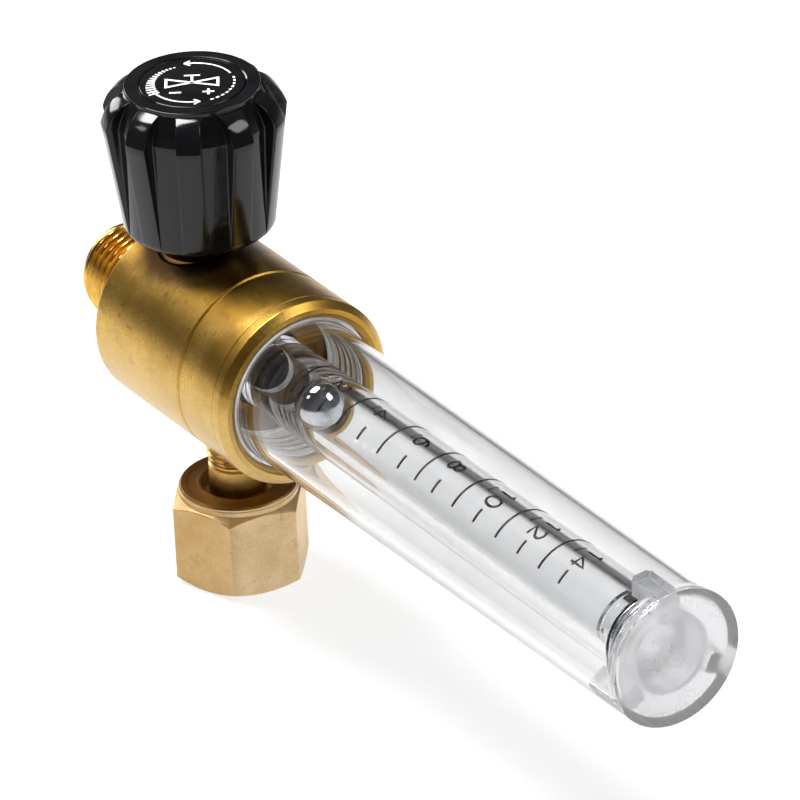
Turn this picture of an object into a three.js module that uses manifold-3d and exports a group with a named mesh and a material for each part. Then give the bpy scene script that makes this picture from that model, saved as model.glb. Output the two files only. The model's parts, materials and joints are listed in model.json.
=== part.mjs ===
/**
 * Shield-gas flowmeter with a needle valve, as screwed onto a cylinder regulator.
 *
 * Units are millimetres and +Z is up. The origin is the centre of the bounding box, at the level of
 * the union nut's rim. Everything is drawn in valve coordinates, whose origin is the point where the
 * knob's axis (+Z) crosses the metering tube's axis (+X), and one group carries them to their place.
 */
import * as THREE from 'three';
import { mergeVertices } from 'three/addons/utils/BufferGeometryUtils.js';
import Module from 'manifold-3d';

const wasm = await Module();
wasm.setup();

// Driving dimensions ---------------------------------------------------------------------------

const TUBE_AXIS_HEIGHT = 39.45; // metering tube's axis above the nut's rim
const OUTLET_END = -24.3; // the threaded outlet's end, along the tube's axis
const COVER_END = 123.7; // the clear cover's closed end
const KNOB_AXIS_X = -(OUTLET_END + COVER_END) / 2; // centres the part's length on the origin
const INLET_OFFSET = 6.5; // inlet stem's axis in front of the knob's axis

const BODY_RADIUS = 15;
const BODY_REAR = -8.6;
const BODY_FRONT = 27.6;
const BODY_CHAMFER = 1.2;
const GROOVE_START = 14.9; // turned line round the body
const GROOVE_END = 15.8;
const GROOVE_DEPTH = 0.25;
const THREAD_RADIUS = 7.92; // 5/8-18 UNF, which the outlet and the union nut share
const THREAD_PITCH = 25.4 / 18;
const THREAD_DEPTH = 0.613; // of a 60 degree thread, as a share of its pitch
const OUTLET_BORE_RADIUS = 4;
const OUTLET_MOUTH_RADIUS = 6.2; // at the end of the cone that takes a hose nipple
const OUTLET_CONE_DEPTH = 2.8;

const COVER_SEAT_RADIUS = 12.93; // bore that takes the cover's threaded foot
const COVER_SEAT_FLOOR = 17.5;
const TUBE_SEAT_START = 16.7;
const TUBE_SEAT_RADIUS = 6.2;
const TUBE_FOOT = 19.5; // lower end of the metering tube
const TUBE_TOP = 116.2;
const TUBE_RADIUS = 6; // outside, at its foot
const TUBE_DRAFT = 0.45; // what the tube's outside gains in radius towards its top
const TAPER_FOOT_RADIUS = 3.66; // tapered bore at the tube's foot
const TAPER_TOP_RADIUS = 4.25;
const TAPER_END = 105;
const BALL_STOP_START = 111.8;
const BALL_STOP_BORE = 2.6;
const BALL_RADIUS = 3.57; // a 9/32 in ball
const BALL_X = 33.2;

const COVER_FOOT = 18.8;
const COVER_FOOT_TOP = 26.9; // where the threaded foot steps in to the cover's outside
const COVER_FOOT_RADIUS = 12.75;
const COVER_RADIUS = 11.66; // outside, where the cover leaves the body
const COVER_TOP_RADIUS = 10.94; // outside, at the closed end
const COVER_FOOT_BORE = 10.3;
const COVER_TOP_BORE = 9.75;
const COVER_FLOOR = 122.4; // inner face of the closed end
const RIB_COUNT = 3;
const RIB_FIRST_ANGLE = 1.6; // radians about the tube's axis, from +Y towards +Z
const RIB_START = 115.6;
const RIB_INNER_RADIUS = 6.75;
const RIB_WIDTH = 3.2;
const RIB_OVERLAP = 0.5; // how far a rib reaches into the cover's wall and floor

const SPRING_WIRE_RADIUS = 0.35;
const SPRING_COIL_RADIUS = 6.1; // to the middle of the wire
const SPRING_TURNS = 3.75;

const PASSAGE_RADIUS = 1.3; // of the three drilled gas ways
const CHAMBER_RADIUS = 4.2;
const CHAMBER_START = 1.9;
const CHAMBER_FLOOR = 5.0;
const SEAT_ORIFICE_RADIUS = 1.2;
const BONNET_FACE = 12.6; // spot face under the bonnet's gasket
const BONNET_FOOT = 8.2;
const BONNET_RADIUS = 6.6;
const BONNET_THREAD_RADIUS = 5.0;
const BONNET_FLANGE_FOOT = BONNET_FACE + 0.7;
const BONNET_FLANGE_TOP = 14.8;
const BONNET_NECK_RADIUS = 4.4;
const BONNET_TOP = 18.6;
const GASKET_THICKNESS = 0.6;
const GASKET_INNER_RADIUS = 5.25;
const SPINDLE_RADIUS = 2.5;
const SPINDLE_THREAD_RADIUS = 3.0;
const SPINDLE_FOOT = 6.9;
const SPINDLE_THREAD_TOP = 12;
const SPINDLE_TOP = 34.2;
const SEAL_GROOVE_START = 15.2;
const SEAL_GROOVE_END = 16.4;
const SEAL_GROOVE_RADIUS = 1.9;
const NEEDLE_RADIUS = 1.55;
const NEEDLE_SOCKET_RADIUS = 1.75;
const NEEDLE_SOCKET_TOP = 10.2;
const SCREW_HOLE_RADIUS = 1.3;
const SCREW_HOLE_FLOOR = 28;
const SCREW_RADIUS = 1.15;
const SCREW_HEAD_FOOT = 36.35;
const SCREW_HEAD_TOP = 38.6;
const SCREW_HEAD_RADIUS = 2.8;

const KNOB_BOTTOM = 17.85;
const KNOB_TOP = 41.6;
const KNOB_SHOULDER = 36.6; // where the straight sides end
const KNOB_DISC_FOOT = 40.9;
const KNOB_BASE_RADIUS = 11.6;
const KNOB_CORE_RADIUS = 12.2; // floor of the finger grooves, at the shoulder
const KNOB_LOBE_RADIUS = 14.2; // at the shoulder; the lobes run out at the base
const KNOB_DISC_RADIUS = 10.3;
const KNOB_LOBES = 10;
const KNOB_LOBE_WIDTH = 3.7;
const KNOB_CAVITY_RADIUS = 10;
const KNOB_CAVITY_TOP = 31;
const KNOB_BOSS_RADIUS = 6;
const KNOB_BOSS_FOOT = 19.7;
const KNOB_WEB = 34.5; // floor of the boss's blind bore
const INSERT_RADIUS = 4.2;
const INSERT_BORE_RADIUS = 4.35;
const CAP_SEAT = 40.2;
const CAP_RADIUS = 8;
const CAP_SPIGOT_RADIUS = 3.25;
const CAP_SPIGOT_BORE = 2.6;
const CAP_SPIGOT_FOOT = 38.9;
const SCREW_RECESS_RADIUS = 3.4;
const SCREW_RECESS_FLOOR = 36.3;

const STEM_RADIUS = 4.45;
const STEM_BORE_RADIUS = 2.5;
const STEM_THREAD_RADIUS = 4.6;
const STEM_THREAD_PITCH = 0.94;
const STEM_THREAD_FOOT = -20.6;
const STEM_THREAD_TOP = -14.2;
const STEM_TOP = -8.4; // blind end of the stem, inside the body
const COLLAR_RADIUS = 6.9;
const COLLAR_TOP = -27.9;
const COLLAR_FOOT = -30.5;
const NOSE_CONE_RADIUS = 6.2; // where the nose's cone meets the collar
const NOSE_END_RADIUS = 4.7;
const FILTER_BORE_RADIUS = 3.3;
const FILTER_RADIUS = 3.1;
const FILTER_THICKNESS = 3;
const FILTER_FOOT = -TUBE_AXIS_HEIGHT + 1.5;
const CLIP_FOOT = -TUBE_AXIS_HEIGHT + 0.6;
const CLIP_THICKNESS = 0.7;
const CLIP_RADIUS = 3.15;
const CLIP_BORE = 2.4;

const NUT_ACROSS_FLATS = 19.05;
const NUT_TOP = -24.3;
const NUT_SHOULDER = -26.8; // where the turned cone meets the hexagon's corners, and the inner flange
const NUT_BOSS_FOOT = -25.9;
const NUT_CORNER_REACH = 11.1; // what the turned ends leave of the hexagon's corners
const NUT_RIM_RADIUS = 9.4;
const NUT_BOSS_RADIUS = 9.5;
const NUT_HOLE_RADIUS = 5.72;
const NUT_BORE_RADIUS = 7.4;
const NUT_MOUTH_RADIUS = 8.2;
const NUT_CORNER_ANGLE = THREE.MathUtils.degToRad(19.4);
const WASHER_TOP = -26.95;
const WASHER_RADIUS = 7;

const RUNNING_GAP = 0.15;
const OVERSHOOT = 1; // how far a cutting tool reaches past the face it enters
const FINE = 40; // facets round the large turned pieces
const COARSE = 20; // facets round the small ones
const STEM_FACETS = 32;
const KNOB_FACETS = 40; // a whole number of facets to each lobe

// Materials ------------------------------------------------------------------------------------

function material(color, roughness, metalness, opacity = 1) {
  return new THREE.MeshStandardMaterial({
    color,
    roughness,
    metalness,
    opacity,
    transparent: opacity < 1,
    flatShading: true,
  });
}

const turnedBrass = () => material(0xb8934a, 0.35, 1);
const sandyBrass = () => material(0xc79f62, 0.5, 1);
const blackPlastic = () => material(0x0b0b0d, 0.2, 0);
const clearPlastic = () => material(0xe8ebee, 0.08, 0, 0.3);
const blackRubber = () => material(0x141414, 0.7, 0);
const steel = () => material(0xb9bbbd, 0.25, 1);
const copper = () => material(0xb46a3c, 0.4, 1);
const nylon = () => material(0xe9e4d6, 0.5, 0);
const sinteredBronze = () => material(0x9a7442, 0.8, 0.8);

// Geometry helpers -----------------------------------------------------------------------------

function signedVolume(positions, index) {
  const a = new THREE.Vector3();
  const b = new THREE.Vector3();
  const c = new THREE.Vector3();
  let volume = 0;
  for (let i = 0; i < index.length; i += 3) {
    a.fromArray(positions, 3 * index[i]);
    b.fromArray(positions, 3 * index[i + 1]);
    c.fromArray(positions, 3 * index[i + 2]);
    volume += a.dot(b.cross(c)) / 6;
  }
  return volume;
}

/** The same surface with shared vertices, no collapsed triangles, and its faces pointing out. */
function closed(geometry) {
  const bare = geometry.clone();
  bare.deleteAttribute('normal');
  bare.deleteAttribute('uv');
  const merged = mergeVertices(bare);
  const kept = [];
  for (let i = 0; i < merged.index.count; i += 3) {
    const [a, b, c] = [0, 1, 2].map((corner) => merged.index.getX(i + corner));
    if (a !== b && b !== c && c !== a) {
      kept.push(a, b, c);
    }
  }
  if (signedVolume(merged.attributes.position.array, kept) < 0) {
    kept.reverse();
  }
  merged.setIndex(kept);
  merged.computeVertexNormals();
  return merged;
}

/** Turns a profile of [distance along the axis, radius] about +X. */
function turnedAlongX(profile, facets = FINE) {
  const points = profile.map(([along, radius]) => new THREE.Vector2(radius, along));
  return closed(new THREE.LatheGeometry(points, facets).rotateZ(-Math.PI / 2));
}

/** Turns a profile of [height, radius] about a vertical axis that stands at x. */
function turnedAlongZ(profile, facets = FINE, x = 0) {
  const points = profile.map(([along, radius]) => new THREE.Vector2(radius, along));
  const geometry = new THREE.LatheGeometry(points, facets).rotateX(Math.PI / 2);
  return closed(geometry.translate(x, 0, 0));
}

/** The closed profile of a plain tube or washer. */
function ringProfile(from, to, inner, outer) {
  return [[from, inner], [from, outer], [to, outer], [to, inner], [from, inner]];
}

/** The profile of a plain rod. */
function rodProfile(from, to, radius) {
  return [[from, 0], [from, radius], [to, radius], [to, 0]];
}

/** Ring-shaped ridges of a thread's pitch and depth, which stand for its helix. */
function threadRidges(from, to, pitch, crest) {
  const root = crest - THREAD_DEPTH * pitch;
  const turns = Math.floor((to - from) / pitch);
  const points = [];
  for (let turn = 0; turn < turns; turn += 1) {
    points.push([from + turn * pitch, root], [from + (turn + 0.5) * pitch, crest]);
  }
  points.push([from + turns * pitch, root]);
  return points;
}

function solid(geometry) {
  const { position } = geometry.attributes;
  return new wasm.Manifold(new wasm.Mesh({
    numProp: 3,
    vertProperties: new Float32Array(position.array),
    triVerts: new Uint32Array(geometry.index.array),
  }));
}

function surfaceOf(manifold) {
  const mesh = manifold.getMesh();
  const geometry = new THREE.BufferGeometry();
  geometry.setAttribute('position', new THREE.BufferAttribute(mesh.vertProperties, 3));
  geometry.setIndex(new THREE.BufferAttribute(mesh.triVerts, 1));
  geometry.computeVertexNormals();
  return geometry;
}

function cut(geometry, ...tools) {
  return surfaceOf(tools.reduce((left, tool) => left.subtract(solid(tool)), solid(geometry)));
}

function join(geometry, ...others) {
  return surfaceOf(others.reduce((sum, other) => sum.add(solid(other)), solid(geometry)));
}

function overlapOf(geometry, other) {
  return surfaceOf(solid(geometry).intersect(solid(other)));
}

/** A round hole between two points, as a solid to be cut away. */
function drilling(start, end, radius, facets = 12) {
  const from = new THREE.Vector3(...start);
  const along = new THREE.Vector3(...end).sub(from);
  const geometry = new THREE.CylinderGeometry(radius, radius, along.length(), facets);
  const up = new THREE.Vector3(0, 1, 0);
  geometry.applyQuaternion(new THREE.Quaternion().setFromUnitVectors(up, along.clone().normalize()));
  const middle = from.addScaledVector(along, 0.5);
  return closed(geometry.translate(middle.x, middle.y, middle.z));
}

function oRing(radius, section, facets) {
  return closed(new THREE.TorusGeometry(radius, section, 6, facets));
}

// Body and its fixed pieces --------------------------------------------------------------------

function valveBody() {
  const outside = turnedAlongX([
    [OUTLET_END, 0],
    [OUTLET_END, THREAD_RADIUS - 1],
    ...threadRidges(OUTLET_END + 0.3, BODY_REAR - 1, THREAD_PITCH, THREAD_RADIUS),
    [BODY_REAR, THREAD_RADIUS - 0.9],
    [BODY_REAR, BODY_RADIUS - 0.7],
    [BODY_REAR + 0.7, BODY_RADIUS],
    [GROOVE_START, BODY_RADIUS],
    [GROOVE_START + 0.2, BODY_RADIUS - GROOVE_DEPTH],
    [GROOVE_END - 0.2, BODY_RADIUS - GROOVE_DEPTH],
    [GROOVE_END, BODY_RADIUS],
    [BODY_FRONT - BODY_CHAMFER, BODY_RADIUS],
    [BODY_FRONT, BODY_RADIUS - BODY_CHAMFER + 0.2],
    [BODY_FRONT, 0],
  ]);
  const coverBore = rodProfile(COVER_SEAT_FLOOR, BODY_FRONT + OVERSHOOT, COVER_SEAT_RADIUS);
  const pocketFloor = TUBE_SEAT_START - 0.1;
  const pocket = rodProfile(pocketFloor, COVER_SEAT_FLOOR + 0.5, TUBE_SEAT_RADIUS + RUNNING_GAP);
  const outletBore = turnedAlongX([
    [OUTLET_END - OVERSHOOT, 0],
    [OUTLET_END - OVERSHOOT, OUTLET_MOUTH_RADIUS],
    [OUTLET_END, OUTLET_MOUTH_RADIUS],
    [OUTLET_END + OUTLET_CONE_DEPTH, OUTLET_BORE_RADIUS],
    [BODY_REAR, OUTLET_BORE_RADIUS],
    [BODY_REAR + 1, 0],
  ], COARSE);
  const valveChamber = turnedAlongZ([
    [-0.2, 0],
    [-0.2, SEAT_ORIFICE_RADIUS],
    [CHAMBER_START, SEAT_ORIFICE_RADIUS],
    [CHAMBER_START, CHAMBER_RADIUS],
    [CHAMBER_FLOOR, CHAMBER_RADIUS],
    [CHAMBER_FLOOR, BONNET_THREAD_RADIUS + RUNNING_GAP],
    [BONNET_FACE, BONNET_THREAD_RADIUS + RUNNING_GAP],
    [BONNET_FACE, BONNET_RADIUS + 0.3],
    [BODY_RADIUS + OVERSHOOT, BONNET_RADIUS + 0.3],
    [BODY_RADIUS + OVERSHOOT, 0],
  ]);
  const socketTop = STEM_TOP + 0.2;
  const socketRadius = STEM_THREAD_RADIUS + RUNNING_GAP;
  const socket = rodProfile(-BODY_RADIUS - OVERSHOOT, socketTop, socketRadius);
  const inletPassage = drilling([4.9, 3, STEM_TOP - 0.5], [4.9, 3, 7], PASSAGE_RADIUS);
  const tubeFeed = drilling([-0.5, 0, 0], [TUBE_SEAT_START + 0.3, 0, 0], PASSAGE_RADIUS);
  const coverEnd = [COVER_SEAT_FLOOR + 0.5, -8.2, -4];
  const outletPassage = drilling([BODY_REAR - 5, -1, -1], coverEnd, PASSAGE_RADIUS);
  return cut(
    outside,
    turnedAlongX(coverBore),
    turnedAlongX(pocket, COARSE),
    outletBore,
    valveChamber,
    turnedAlongZ(socket, FINE, INLET_OFFSET),
    inletPassage,
    tubeFeed,
    outletPassage,
  );
}

function valveSeat() {
  const profile = ringProfile(CHAMBER_START + 0.1, CHAMBER_FLOOR - 0.6, 1.1, CHAMBER_RADIUS - 0.15);
  return turnedAlongZ(profile, COARSE);
}

function bonnetGasket() {
  const foot = BONNET_FACE + 0.05;
  const profile = ringProfile(foot, foot + GASKET_THICKNESS, GASKET_INNER_RADIUS, BONNET_RADIUS - 0.2);
  return turnedAlongZ(profile);
}

function bonnet() {
  const chamfer = 0.5;
  const spindleBore = SPINDLE_RADIUS + RUNNING_GAP;
  const threadBore = SPINDLE_THREAD_RADIUS + RUNNING_GAP;
  const threadEnd = SEAL_GROOVE_START - 1;
  return turnedAlongZ([
    [BONNET_FOOT, threadBore],
    [BONNET_FOOT, BONNET_THREAD_RADIUS - chamfer],
    [BONNET_FOOT + chamfer, BONNET_THREAD_RADIUS],
    [BONNET_FLANGE_FOOT, BONNET_THREAD_RADIUS],
    [BONNET_FLANGE_FOOT, BONNET_RADIUS],
    [BONNET_FLANGE_TOP - chamfer, BONNET_RADIUS],
    [BONNET_FLANGE_TOP, BONNET_RADIUS - chamfer],
    [BONNET_FLANGE_TOP, BONNET_NECK_RADIUS],
    [BONNET_TOP, BONNET_NECK_RADIUS],
    [BONNET_TOP, spindleBore],
    [threadEnd, spindleBore],
    [threadEnd, threadBore],
    [BONNET_FOOT, threadBore],
  ]);
}

function inletStem() {
  const noseEnd = -TUBE_AXIS_HEIGHT;
  const filterBoreTop = FILTER_FOOT + FILTER_THICKNESS + 0.2;
  return turnedAlongZ([
    [noseEnd, FILTER_BORE_RADIUS],
    [noseEnd, NOSE_END_RADIUS - 0.4],
    [noseEnd + 0.4, NOSE_END_RADIUS],
    [COLLAR_FOOT - 0.7, NOSE_CONE_RADIUS],
    [COLLAR_FOOT, COLLAR_RADIUS],
    [COLLAR_TOP, COLLAR_RADIUS],
    [COLLAR_TOP, STEM_RADIUS],
    [STEM_THREAD_FOOT - 0.2, STEM_RADIUS],
    ...threadRidges(STEM_THREAD_FOOT, STEM_THREAD_TOP, STEM_THREAD_PITCH, STEM_THREAD_RADIUS),
    [STEM_THREAD_TOP + 0.2, STEM_THREAD_RADIUS],
    [STEM_TOP, STEM_THREAD_RADIUS],
    [STEM_TOP, STEM_BORE_RADIUS],
    [filterBoreTop, STEM_BORE_RADIUS],
    [filterBoreTop, FILTER_BORE_RADIUS],
    [noseEnd, FILTER_BORE_RADIUS],
  ], STEM_FACETS, INLET_OFFSET);
}

function inletFilter() {
  const profile = rodProfile(FILTER_FOOT, FILTER_FOOT + FILTER_THICKNESS, FILTER_RADIUS);
  return turnedAlongZ(profile, COARSE, INLET_OFFSET);
}

function filterClip() {
  const openHalfAngle = 0.5;
  const farAngle = 2 * Math.PI - openHalfAngle;
  const outline = new THREE.Shape();
  outline.absarc(0, 0, CLIP_RADIUS, openHalfAngle, farAngle, false);
  outline.absarc(0, 0, CLIP_BORE, farAngle, openHalfAngle, true);
  const options = { depth: CLIP_THICKNESS, bevelEnabled: false, curveSegments: 20 };
  const geometry = new THREE.ExtrudeGeometry(outline, options);
  return closed(geometry.translate(INLET_OFFSET, 0, CLIP_FOOT));
}

// Union nut ------------------------------------------------------------------------------------

function unionNut() {
  const rim = -TUBE_AXIS_HEIGHT;
  const cornerRadius = NUT_ACROSS_FLATS / Math.sqrt(3);
  const hexagon = new THREE.Shape();
  for (let corner = 0; corner < 6; corner += 1) {
    const angle = NUT_CORNER_ANGLE + (corner * Math.PI) / 3;
    const point = [cornerRadius * Math.cos(angle), cornerRadius * Math.sin(angle)];
    if (corner === 0) {
      hexagon.moveTo(...point);
    } else {
      hexagon.lineTo(...point);
    }
  }
  hexagon.closePath();
  const options = { depth: NUT_TOP - rim, bevelEnabled: false };
  const bar = closed(new THREE.ExtrudeGeometry(hexagon, options).translate(INLET_OFFSET, 0, rim));
  const turnedForm = turnedAlongZ([
    [rim - 0.01, 0],
    [rim - 0.01, NUT_RIM_RADIUS],
    [rim + 0.9, NUT_CORNER_REACH],
    [NUT_SHOULDER, NUT_CORNER_REACH],
    [NUT_BOSS_FOOT, NUT_BOSS_RADIUS],
    [NUT_TOP, NUT_BOSS_RADIUS - 0.35],
    [NUT_TOP, 0],
  ], FINE, INLET_OFFSET);
  const inside = turnedAlongZ([
    [rim - OVERSHOOT, 0],
    [rim - OVERSHOOT, NUT_MOUTH_RADIUS],
    [rim, NUT_MOUTH_RADIUS],
    [rim + 0.8, NUT_BORE_RADIUS],
    [NUT_SHOULDER, NUT_BORE_RADIUS],
    [NUT_SHOULDER, NUT_HOLE_RADIUS],
    [NUT_TOP + OVERSHOOT, NUT_HOLE_RADIUS],
    [NUT_TOP + OVERSHOOT, 0],
  ], FINE, INLET_OFFSET);
  return cut(overlapOf(bar, turnedForm), inside);
}

function slipWasher() {
  const foot = COLLAR_TOP + RUNNING_GAP;
  const profile = ringProfile(foot, WASHER_TOP, STEM_RADIUS + 0.3, WASHER_RADIUS);
  return turnedAlongZ(profile, STEM_FACETS, INLET_OFFSET);
}

// Valve spindle and knob -----------------------------------------------------------------------

function needle() {
  const tip = 2.6;
  const shank = 6;
  const top = NEEDLE_SOCKET_TOP - 0.3;
  return turnedAlongZ([
    [tip, 0],
    [tip, 0.35],
    [shank, NEEDLE_RADIUS],
    [top, NEEDLE_RADIUS],
    [top, 0],
  ], COARSE);
}

function spindle() {
  return turnedAlongZ([
    [SPINDLE_FOOT, NEEDLE_SOCKET_RADIUS],
    [SPINDLE_FOOT, SPINDLE_THREAD_RADIUS],
    [SPINDLE_THREAD_TOP, SPINDLE_THREAD_RADIUS],
    [SPINDLE_THREAD_TOP, SPINDLE_RADIUS],
    [SEAL_GROOVE_START, SPINDLE_RADIUS],
    [SEAL_GROOVE_START, SEAL_GROOVE_RADIUS],
    [SEAL_GROOVE_END, SEAL_GROOVE_RADIUS],
    [SEAL_GROOVE_END, SPINDLE_RADIUS],
    [SPINDLE_TOP, SPINDLE_RADIUS],
    [SPINDLE_TOP, SCREW_HOLE_RADIUS],
    [SCREW_HOLE_FLOOR, SCREW_HOLE_RADIUS],
    [SCREW_HOLE_FLOOR, 0],
    [NEEDLE_SOCKET_TOP, 0],
    [NEEDLE_SOCKET_TOP, NEEDLE_SOCKET_RADIUS],
    [SPINDLE_FOOT, NEEDLE_SOCKET_RADIUS],
  ], COARSE);
}

function spindleORing() {
  const section = 0.33;
  const radius = SEAL_GROOVE_RADIUS + section + 0.045;
  const height = (SEAL_GROOVE_START + SEAL_GROOVE_END) / 2;
  return oRing(radius, section, COARSE).translate(0, 0, height);
}

function knobLobes() {
  const foot = KNOB_BOTTOM + 0.9;
  const envelope = turnedAlongZ([
    [foot, 0],
    [foot, KNOB_BASE_RADIUS - 0.1],
    [KNOB_SHOULDER, KNOB_LOBE_RADIUS],
    [KNOB_SHOULDER + 1.8, KNOB_LOBE_RADIUS - 0.75],
    [KNOB_SHOULDER + 3.4, KNOB_LOBE_RADIUS - 2.05],
    [KNOB_DISC_FOOT, KNOB_DISC_RADIUS],
    [KNOB_DISC_FOOT, 0],
  ], KNOB_FACETS);
  const length = KNOB_LOBE_RADIUS + OVERSHOOT;
  const fins = [];
  for (let lobe = 0; lobe < KNOB_LOBES; lobe += 1) {
    const fin = new THREE.BoxGeometry(length, KNOB_LOBE_WIDTH, KNOB_TOP - KNOB_BOTTOM);
    fin.translate(length / 2, 0, (KNOB_TOP + KNOB_BOTTOM) / 2);
    fins.push(closed(fin.rotateZ((2 * Math.PI * lobe) / KNOB_LOBES)));
  }
  return overlapOf(join(...fins), envelope);
}

function knob() {
  const core = turnedAlongZ([
    [KNOB_BOTTOM, 0],
    [KNOB_BOTTOM, KNOB_BASE_RADIUS - 0.7],
    [KNOB_BOTTOM + 0.3, KNOB_BASE_RADIUS - 0.2],
    [KNOB_BOTTOM + 1.2, KNOB_BASE_RADIUS],
    [KNOB_SHOULDER, KNOB_CORE_RADIUS],
    [KNOB_SHOULDER + 2.4, KNOB_CORE_RADIUS - 0.7],
    [KNOB_DISC_FOOT, KNOB_DISC_RADIUS],
    [KNOB_TOP - 0.2, KNOB_DISC_RADIUS],
    [KNOB_TOP, KNOB_DISC_RADIUS - 0.2],
    [KNOB_TOP, 0],
  ], KNOB_FACETS);
  const hollowFoot = KNOB_BOTTOM - OVERSHOOT;
  const hollow = turnedAlongZ([
    [hollowFoot, INSERT_BORE_RADIUS - 0.05],
    [hollowFoot, KNOB_CAVITY_RADIUS],
    [KNOB_CAVITY_TOP, KNOB_CAVITY_RADIUS - 0.5],
    [KNOB_CAVITY_TOP, KNOB_BOSS_RADIUS],
    [KNOB_BOSS_FOOT, KNOB_BOSS_RADIUS],
    [KNOB_BOSS_FOOT, INSERT_BORE_RADIUS - 0.05],
    [hollowFoot, INSERT_BORE_RADIUS - 0.05],
  ]);
  const insertBore = turnedAlongZ(rodProfile(hollowFoot, KNOB_WEB, INSERT_BORE_RADIUS), COARSE);
  const screwClearance = SCREW_RADIUS + 0.6;
  const topRecess = turnedAlongZ([
    [KNOB_WEB - 0.5, 0],
    [KNOB_WEB - 0.5, screwClearance],
    [SCREW_RECESS_FLOOR, screwClearance],
    [SCREW_RECESS_FLOOR, SCREW_RECESS_RADIUS],
    [CAP_SEAT, SCREW_RECESS_RADIUS],
    [CAP_SEAT, CAP_RADIUS + 0.1],
    [KNOB_TOP + OVERSHOOT, CAP_RADIUS + 0.1],
    [KNOB_TOP + OVERSHOOT, 0],
  ], KNOB_FACETS);
  return cut(join(core, knobLobes()), hollow, insertBore, topRecess);
}

function knobInsert() {
  const bore = SPINDLE_RADIUS + RUNNING_GAP;
  const profile = ringProfile(KNOB_BOSS_FOOT + 0.1, KNOB_WEB - 0.1, bore, INSERT_RADIUS);
  return turnedAlongZ(profile, COARSE);
}

function knobScrew() {
  const tip = SCREW_HOLE_FLOOR + 0.5;
  const slotWidth = 0.8;
  const slotDepth = 0.8;
  const head = turnedAlongZ([
    [tip, 0],
    [tip, SCREW_RADIUS],
    [SCREW_HEAD_FOOT, SCREW_RADIUS],
    [SCREW_HEAD_FOOT, SCREW_HEAD_RADIUS],
    [SCREW_HEAD_TOP - 0.6, SCREW_HEAD_RADIUS],
    [SCREW_HEAD_TOP, SCREW_HEAD_RADIUS - 0.6],
    [SCREW_HEAD_TOP, 0],
  ], COARSE);
  const slotHeight = slotDepth + OVERSHOOT;
  const slot = new THREE.BoxGeometry(3 * SCREW_HEAD_RADIUS, slotWidth, slotHeight);
  slot.translate(0, 0, SCREW_HEAD_TOP - slotDepth + slotHeight / 2);
  return cut(head, closed(slot));
}

function knobCap() {
  const foot = CAP_SEAT + 0.05;
  return turnedAlongZ([
    [foot, CAP_SPIGOT_RADIUS],
    [foot, CAP_RADIUS],
    [KNOB_TOP - 0.05, CAP_RADIUS],
    [KNOB_TOP - 0.05, 0],
    [foot, 0],
    [foot, CAP_SPIGOT_BORE],
    [CAP_SPIGOT_FOOT, CAP_SPIGOT_BORE],
    [CAP_SPIGOT_FOOT, CAP_SPIGOT_RADIUS],
    [foot, CAP_SPIGOT_RADIUS],
  ], KNOB_FACETS);
}

// Metering tube and cover ----------------------------------------------------------------------

function tubeSeat() {
  const profile = ringProfile(TUBE_SEAT_START, TUBE_FOOT - 0.1, 1, TUBE_SEAT_RADIUS);
  return turnedAlongX(profile, COARSE);
}

function meteringTube() {
  return turnedAlongX([
    [TUBE_FOOT, TAPER_FOOT_RADIUS],
    [TUBE_FOOT, TUBE_RADIUS],
    [TUBE_TOP, TUBE_RADIUS + TUBE_DRAFT],
    [TUBE_TOP, TAPER_TOP_RADIUS],
    [TAPER_END, TAPER_TOP_RADIUS],
    [TUBE_FOOT, TAPER_FOOT_RADIUS],
  ], STEM_FACETS);
}

function ballStop() {
  const outside = TAPER_TOP_RADIUS - 0.1;
  const profile = ringProfile(BALL_STOP_START, TUBE_TOP - 0.2, BALL_STOP_BORE, outside);
  return turnedAlongX(profile, COARSE);
}

function floatBall() {
  return closed(new THREE.SphereGeometry(BALL_RADIUS, COARSE, 12)).translate(BALL_X, 0, 0);
}

/** The wire's middle line: a helix about the tube's axis. */
class CoilLine extends THREE.Curve {
  constructor(start, end, radius, turns) {
    super();
    this.start = start;
    this.end = end;
    this.radius = radius;
    this.turns = turns;
  }

  getPoint(t, target = new THREE.Vector3()) {
    const angle = 2 * Math.PI * this.turns * t;
    const x = THREE.MathUtils.lerp(this.start, this.end, t);
    return target.set(x, this.radius * Math.cos(angle), this.radius * Math.sin(angle));
  }
}

function retainingSpring() {
  const gap = SPRING_WIRE_RADIUS + 0.1;
  const line = new CoilLine(TUBE_TOP + gap, COVER_FLOOR - gap, SPRING_COIL_RADIUS, SPRING_TURNS);
  const section = new THREE.Shape().absarc(0, 0, SPRING_WIRE_RADIUS, 0, 2 * Math.PI, false);
  const options = { steps: 72, curveSegments: 3, extrudePath: line };
  return closed(new THREE.ExtrudeGeometry(section, options));
}

function coverTube() {
  const shell = turnedAlongX([
    [COVER_FOOT, COVER_FOOT_BORE],
    [COVER_FOOT, COVER_FOOT_RADIUS],
    [COVER_FOOT_TOP, COVER_FOOT_RADIUS],
    [COVER_FOOT_TOP, COVER_RADIUS],
    [COVER_END, COVER_TOP_RADIUS],
    [COVER_END, 0],
    [COVER_FLOOR, 0],
    [COVER_FLOOR, COVER_TOP_BORE],
    [COVER_FOOT, COVER_FOOT_BORE],
  ]);
  const height = COVER_TOP_BORE + RIB_OVERLAP - RIB_INNER_RADIUS;
  const length = COVER_FLOOR + RIB_OVERLAP - RIB_START;
  const ribs = [];
  for (let rib = 0; rib < RIB_COUNT; rib += 1) {
    const bar = new THREE.BoxGeometry(length, height, RIB_WIDTH);
    bar.translate(RIB_START + length / 2, RIB_INNER_RADIUS + height / 2, 0);
    ribs.push(closed(bar.rotateX(RIB_FIRST_ANGLE + (2 * Math.PI * rib) / RIB_COUNT)));
  }
  return join(shell, ...ribs);
}

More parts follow.
